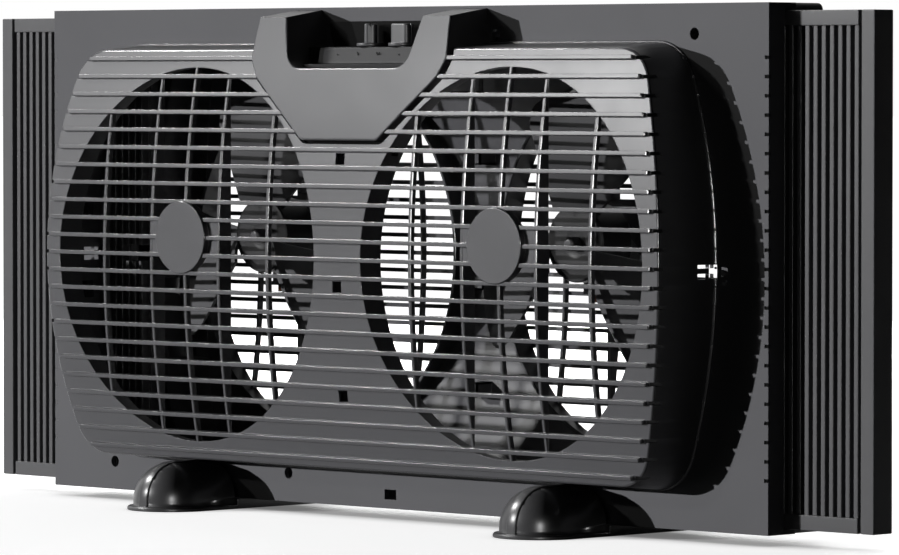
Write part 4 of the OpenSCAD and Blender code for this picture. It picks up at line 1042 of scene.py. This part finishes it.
def impeller(side, s):
    """A fan in two pieces: a cup-shaped hub with a bored boss and gussets, and the blades."""
    form = Form()
    face, floor_y = -HUB_FRONT, 2.5 - HUB_FRONT
    wall = [(HUB_R, HUB_REAR), (HUB_R, face + 1.2), (HUB_R - 0.4, face + 0.4), (HUB_R - 1.2, face),
            (9, face), (8, face + 0.8), (BORE_R, face + 0.8), (BORE_R, HUB_REAR), (7, HUB_REAR),
            (7, floor_y), (HUB_R - 2, floor_y), (HUB_R - 2, HUB_REAR)]
    form.loft([[(x, y, z) for x, z in circle(0, 0, r, 72)] for r, y in wall + wall[:1]], caps=(False, False))
    bmesh.ops.remove_doubles(form.bm, verts=form.bm.verts, dist=0.001)
    for i in range(GUSSET_COUNT):
        gusset = Form().box((6.5, face + 1, -0.7), (HUB_R - 1.5, HUB_REAR - 6, 0.7), 0)
        gusset.bm.transform(Matrix.Rotation(math.radians(i * 360 / GUSSET_COUNT + 15), 4, "Y"))
        form.join(gusset)
    blades = Form()
    for i in range(BLADE_COUNT):
        add_blade(blades, i * 360 / BLADE_COUNT)
    for part in (form, blades):
        part.bm.transform(Matrix.Translation((s * OPENING_X, 0, FAN_Z)))
    finish_piece(form.to_object(side), f"{side}_hub_look", HUB_PLASTIC, f"{side}_fan", [], 50)
    finish_piece(blades.to_object(side), f"{side}_impeller_look", FAN_PLASTIC, f"{side}_fan",
                 [f"{side}_impeller"], 50)


def fan_nut(side, s):
    """A moulded nut with six grips and a domed end."""
    def section(d, y, lobe):
        points = []
        for a in [2 * math.pi * i / 48 for i in range(48)]:
            r = NUT_R - d + lobe * math.cos(NUT_GRIPS * a)
            points.append((r * math.cos(a), y, r * math.sin(a)))
        return points

    tip = -HUB_FRONT - NUT_L
    form = Form().loft([section(0, 0.8 - HUB_FRONT, 0.2), section(0, tip + 2.4, 0.2),
                        section(0.5, tip + 1.1, 0.1), section(1.5, tip + 0.3, 0), section(2.8, tip, 0)])
    form.bm.transform(Matrix.Translation((s * OPENING_X, 0, FAN_Z)))
    finish_piece(form.to_object(side), f"{side}_nut_look", KNOB_PLASTIC, f"{side}_fan", [f"{side}_fan_nut"])


# ---- camera, light and stage -----------------------------------------------

CAMERA_AT = (2.5616, -2.5396, 0.2646)
CAMERA_TILT, CAMERA_HEADING, LENS = 88.106, 44.94, 239.24


def camera():
    """The photograph's camera, fitted to the outline of the frame."""
    data = bpy.data.cameras.new("camera")
    data.lens = LENS
    data.sensor_width = 36
    data.clip_end = 50
    obj = bpy.data.objects.new("camera", data)
    obj.location = CAMERA_AT
    obj.rotation_euler = (math.radians(CAMERA_TILT), 0, math.radians(CAMERA_HEADING))
    bpy.context.scene.collection.objects.link(obj)
    bpy.context.scene.camera = obj


# name, place, width and height, watts, and whether it gives diffuse light and highlights
LAMPS = [("key", (-4.6, -5.4, 0.86), (0.06, 0.06), 860, True, False),
         ("sheen", (-1.95, -2.68, 1.2), (0.12, 0.12), 84, False, True),
         ("edge_right", (2.9, -2.75, 0.5), (0.4, 0.8), 60, False, True),
         ("edge_top", (-2.26, -1.13, 2.1), (0.4, 0.4), 80, False, True),
         ("back", (-1.9, 2.1, 0.75), (1.2, 0.8), 110, True, False)]
LAMP_AIM = (0, 0, 0.16)


def softbox(name, place_at, size, power, soft, shine):
    """An area lamp that looks at the object; soft is its diffuse light, shine its highlights."""
    data = bpy.data.lights.new(name, "AREA")
    data.shape = "RECTANGLE"
    data.size, data.size_y = size
    data.energy = power
    obj = bpy.data.objects.new(name, data)
    obj.location = place_at
    obj.rotation_euler = (Vector(LAMP_AIM) - Vector(place_at)).to_track_quat("-Z", "Y").to_euler()
    obj.visible_diffuse = soft
    obj.visible_glossy = shine
    bpy.context.scene.collection.objects.link(obj)


BEHIND = (-0.707, 0.707, 0)
BEHIND_NEAR, BEHIND_FULL = 0.35, 0.8
AMBIENT, BEHIND_DIFFUSE = 0.001, 0.35


def seen_white(tree, direction, diffuse):
    """1 for camera rays; for the others, 1 or diffuse where the direction lies behind the object."""
    facing = combined(tree, "DOT_PRODUCT", direction, BEHIND, kind="VectorMath", output="Value")
    behind = ranged(tree, facing, 0, 1, BEHIND_NEAR, BEHIND_FULL, "SMOOTHSTEP")
    rays = added(tree, "LightPath").outputs
    mirrored = combined(tree, "MAXIMUM", rays["Is Glossy Ray"], rays["Is Transmission Ray"])
    share = combined(tree, "MULTIPLY", combined(tree, "MAXIMUM", mirrored, diffuse), behind)
    return combined(tree, "MAXIMUM", rays["Is Camera Ray"], share)


def world():
    """A studio with a white backdrop behind the object, and dim light from all round."""
    w = bpy.data.worlds.new("studio")
    bpy.context.scene.world = w
    w.use_nodes = True
    tree = w.node_tree
    back = feed(tree, tree.nodes["Background"], Color=(AMBIENT, AMBIENT, AMBIENT, 1))
    white = added(tree, "Background", Color=(1, 1, 1, 1))
    direction = added(tree, "TexCoord").outputs["Generated"]
    mix = added(tree, "MixShader", Fac=seen_white(tree, direction, BEHIND_DIFFUSE))
    for i, shader in ((1, back), (2, white)):
        tree.links.new(shader.outputs[0], mix.inputs[i])
    tree.links.new(mix.outputs[0], tree.nodes["World Output"].inputs["Surface"])


FLOOR_SIZE, FLOOR_TONE, FLOOR_ROUGHNESS = 60, 0.65, 0.7
FLOOR_GLOW_NEAR, FLOOR_GLOW_FAR = 0.74, 1.0
FLOOR_NEAR_R, FLOOR_FAR_R = 0.5, 1.3
# Reach and depth of the painted contact shade on the floor.
FLOOR_PAINTED_SHADE_R, FLOOR_PAINTED_SHADE = 0.03, 0.2


def floor():
    """A pale floor that shows white further out and glows dimmer near the object, where it keeps the
    object's shadow from the lamps, with a painted contact shade where the object comes close; it bounces no
    light.
    """
    bpy.ops.mesh.primitive_plane_add(size=FLOOR_SIZE)
    obj = bpy.context.object
    obj.name = "floor"
    material, tree, shader = node_material("pale_floor")
    coords = added(tree, "TexCoord").outputs["Object"]
    away = combined(tree, "LENGTH", coords, kind="VectorMath", output="Value")
    heading = combined(tree, "NORMALIZE", coords, kind="VectorMath")
    glow = ranged(tree, away, FLOOR_GLOW_NEAR, FLOOR_GLOW_FAR, FLOOR_NEAR_R, FLOOR_FAR_R, "SMOOTHSTEP")
    # Ambient occlusion dims the floor's glow where the object comes close: a painted contact shade.
    shade = added(tree, "AmbientOcclusion", Distance=FLOOR_PAINTED_SHADE_R)
    shade.samples = 8
    painted_shade_share = ranged(tree, shade.outputs["AO"], FLOOR_PAINTED_SHADE, 1, kind="SMOOTHSTEP")
    glow_and_painted_shade = combined(tree, "MULTIPLY", combined(tree, "MULTIPLY", glow, painted_shade_share),
                   seen_white(tree, heading, 0))
    feed(tree, shader, Base_Color=(FLOOR_TONE, FLOOR_TONE, FLOOR_TONE, 1), Roughness=FLOOR_ROUGHNESS,
         Emission_Color=(1, 1, 1, 1), Emission_Strength=glow_and_painted_shade)
    obj.data.materials.append(material)
    obj.visible_diffuse = False


def stage():
    for lamp in LAMPS:
        softbox(*lamp)
    world()
    floor()
    bpy.context.scene.view_settings.view_transform = "Standard"


# ---- the object ------------------------------------------------------------

camera()
stage()
dress_cad_nodes()
cover("front_cover_look", "front_cover", rear=False)
cover("rear_cover_look", "rear_cover", rear=True)
frame_half("front_frame", latch_windows())
frame_half("rear_frame", rounded_corners(REAR_CORNER_R))
bezel()
deck()
for dial, x in DIAL_XS.items():
    knob(f"{dial}_knob", x, DIAL_TURNS[dial])
for side, s in (("left", -1), ("right", 1)):
    expander(side, s)
    foot(side, s)
    impeller(side, s)
    fan_nut(side, s)
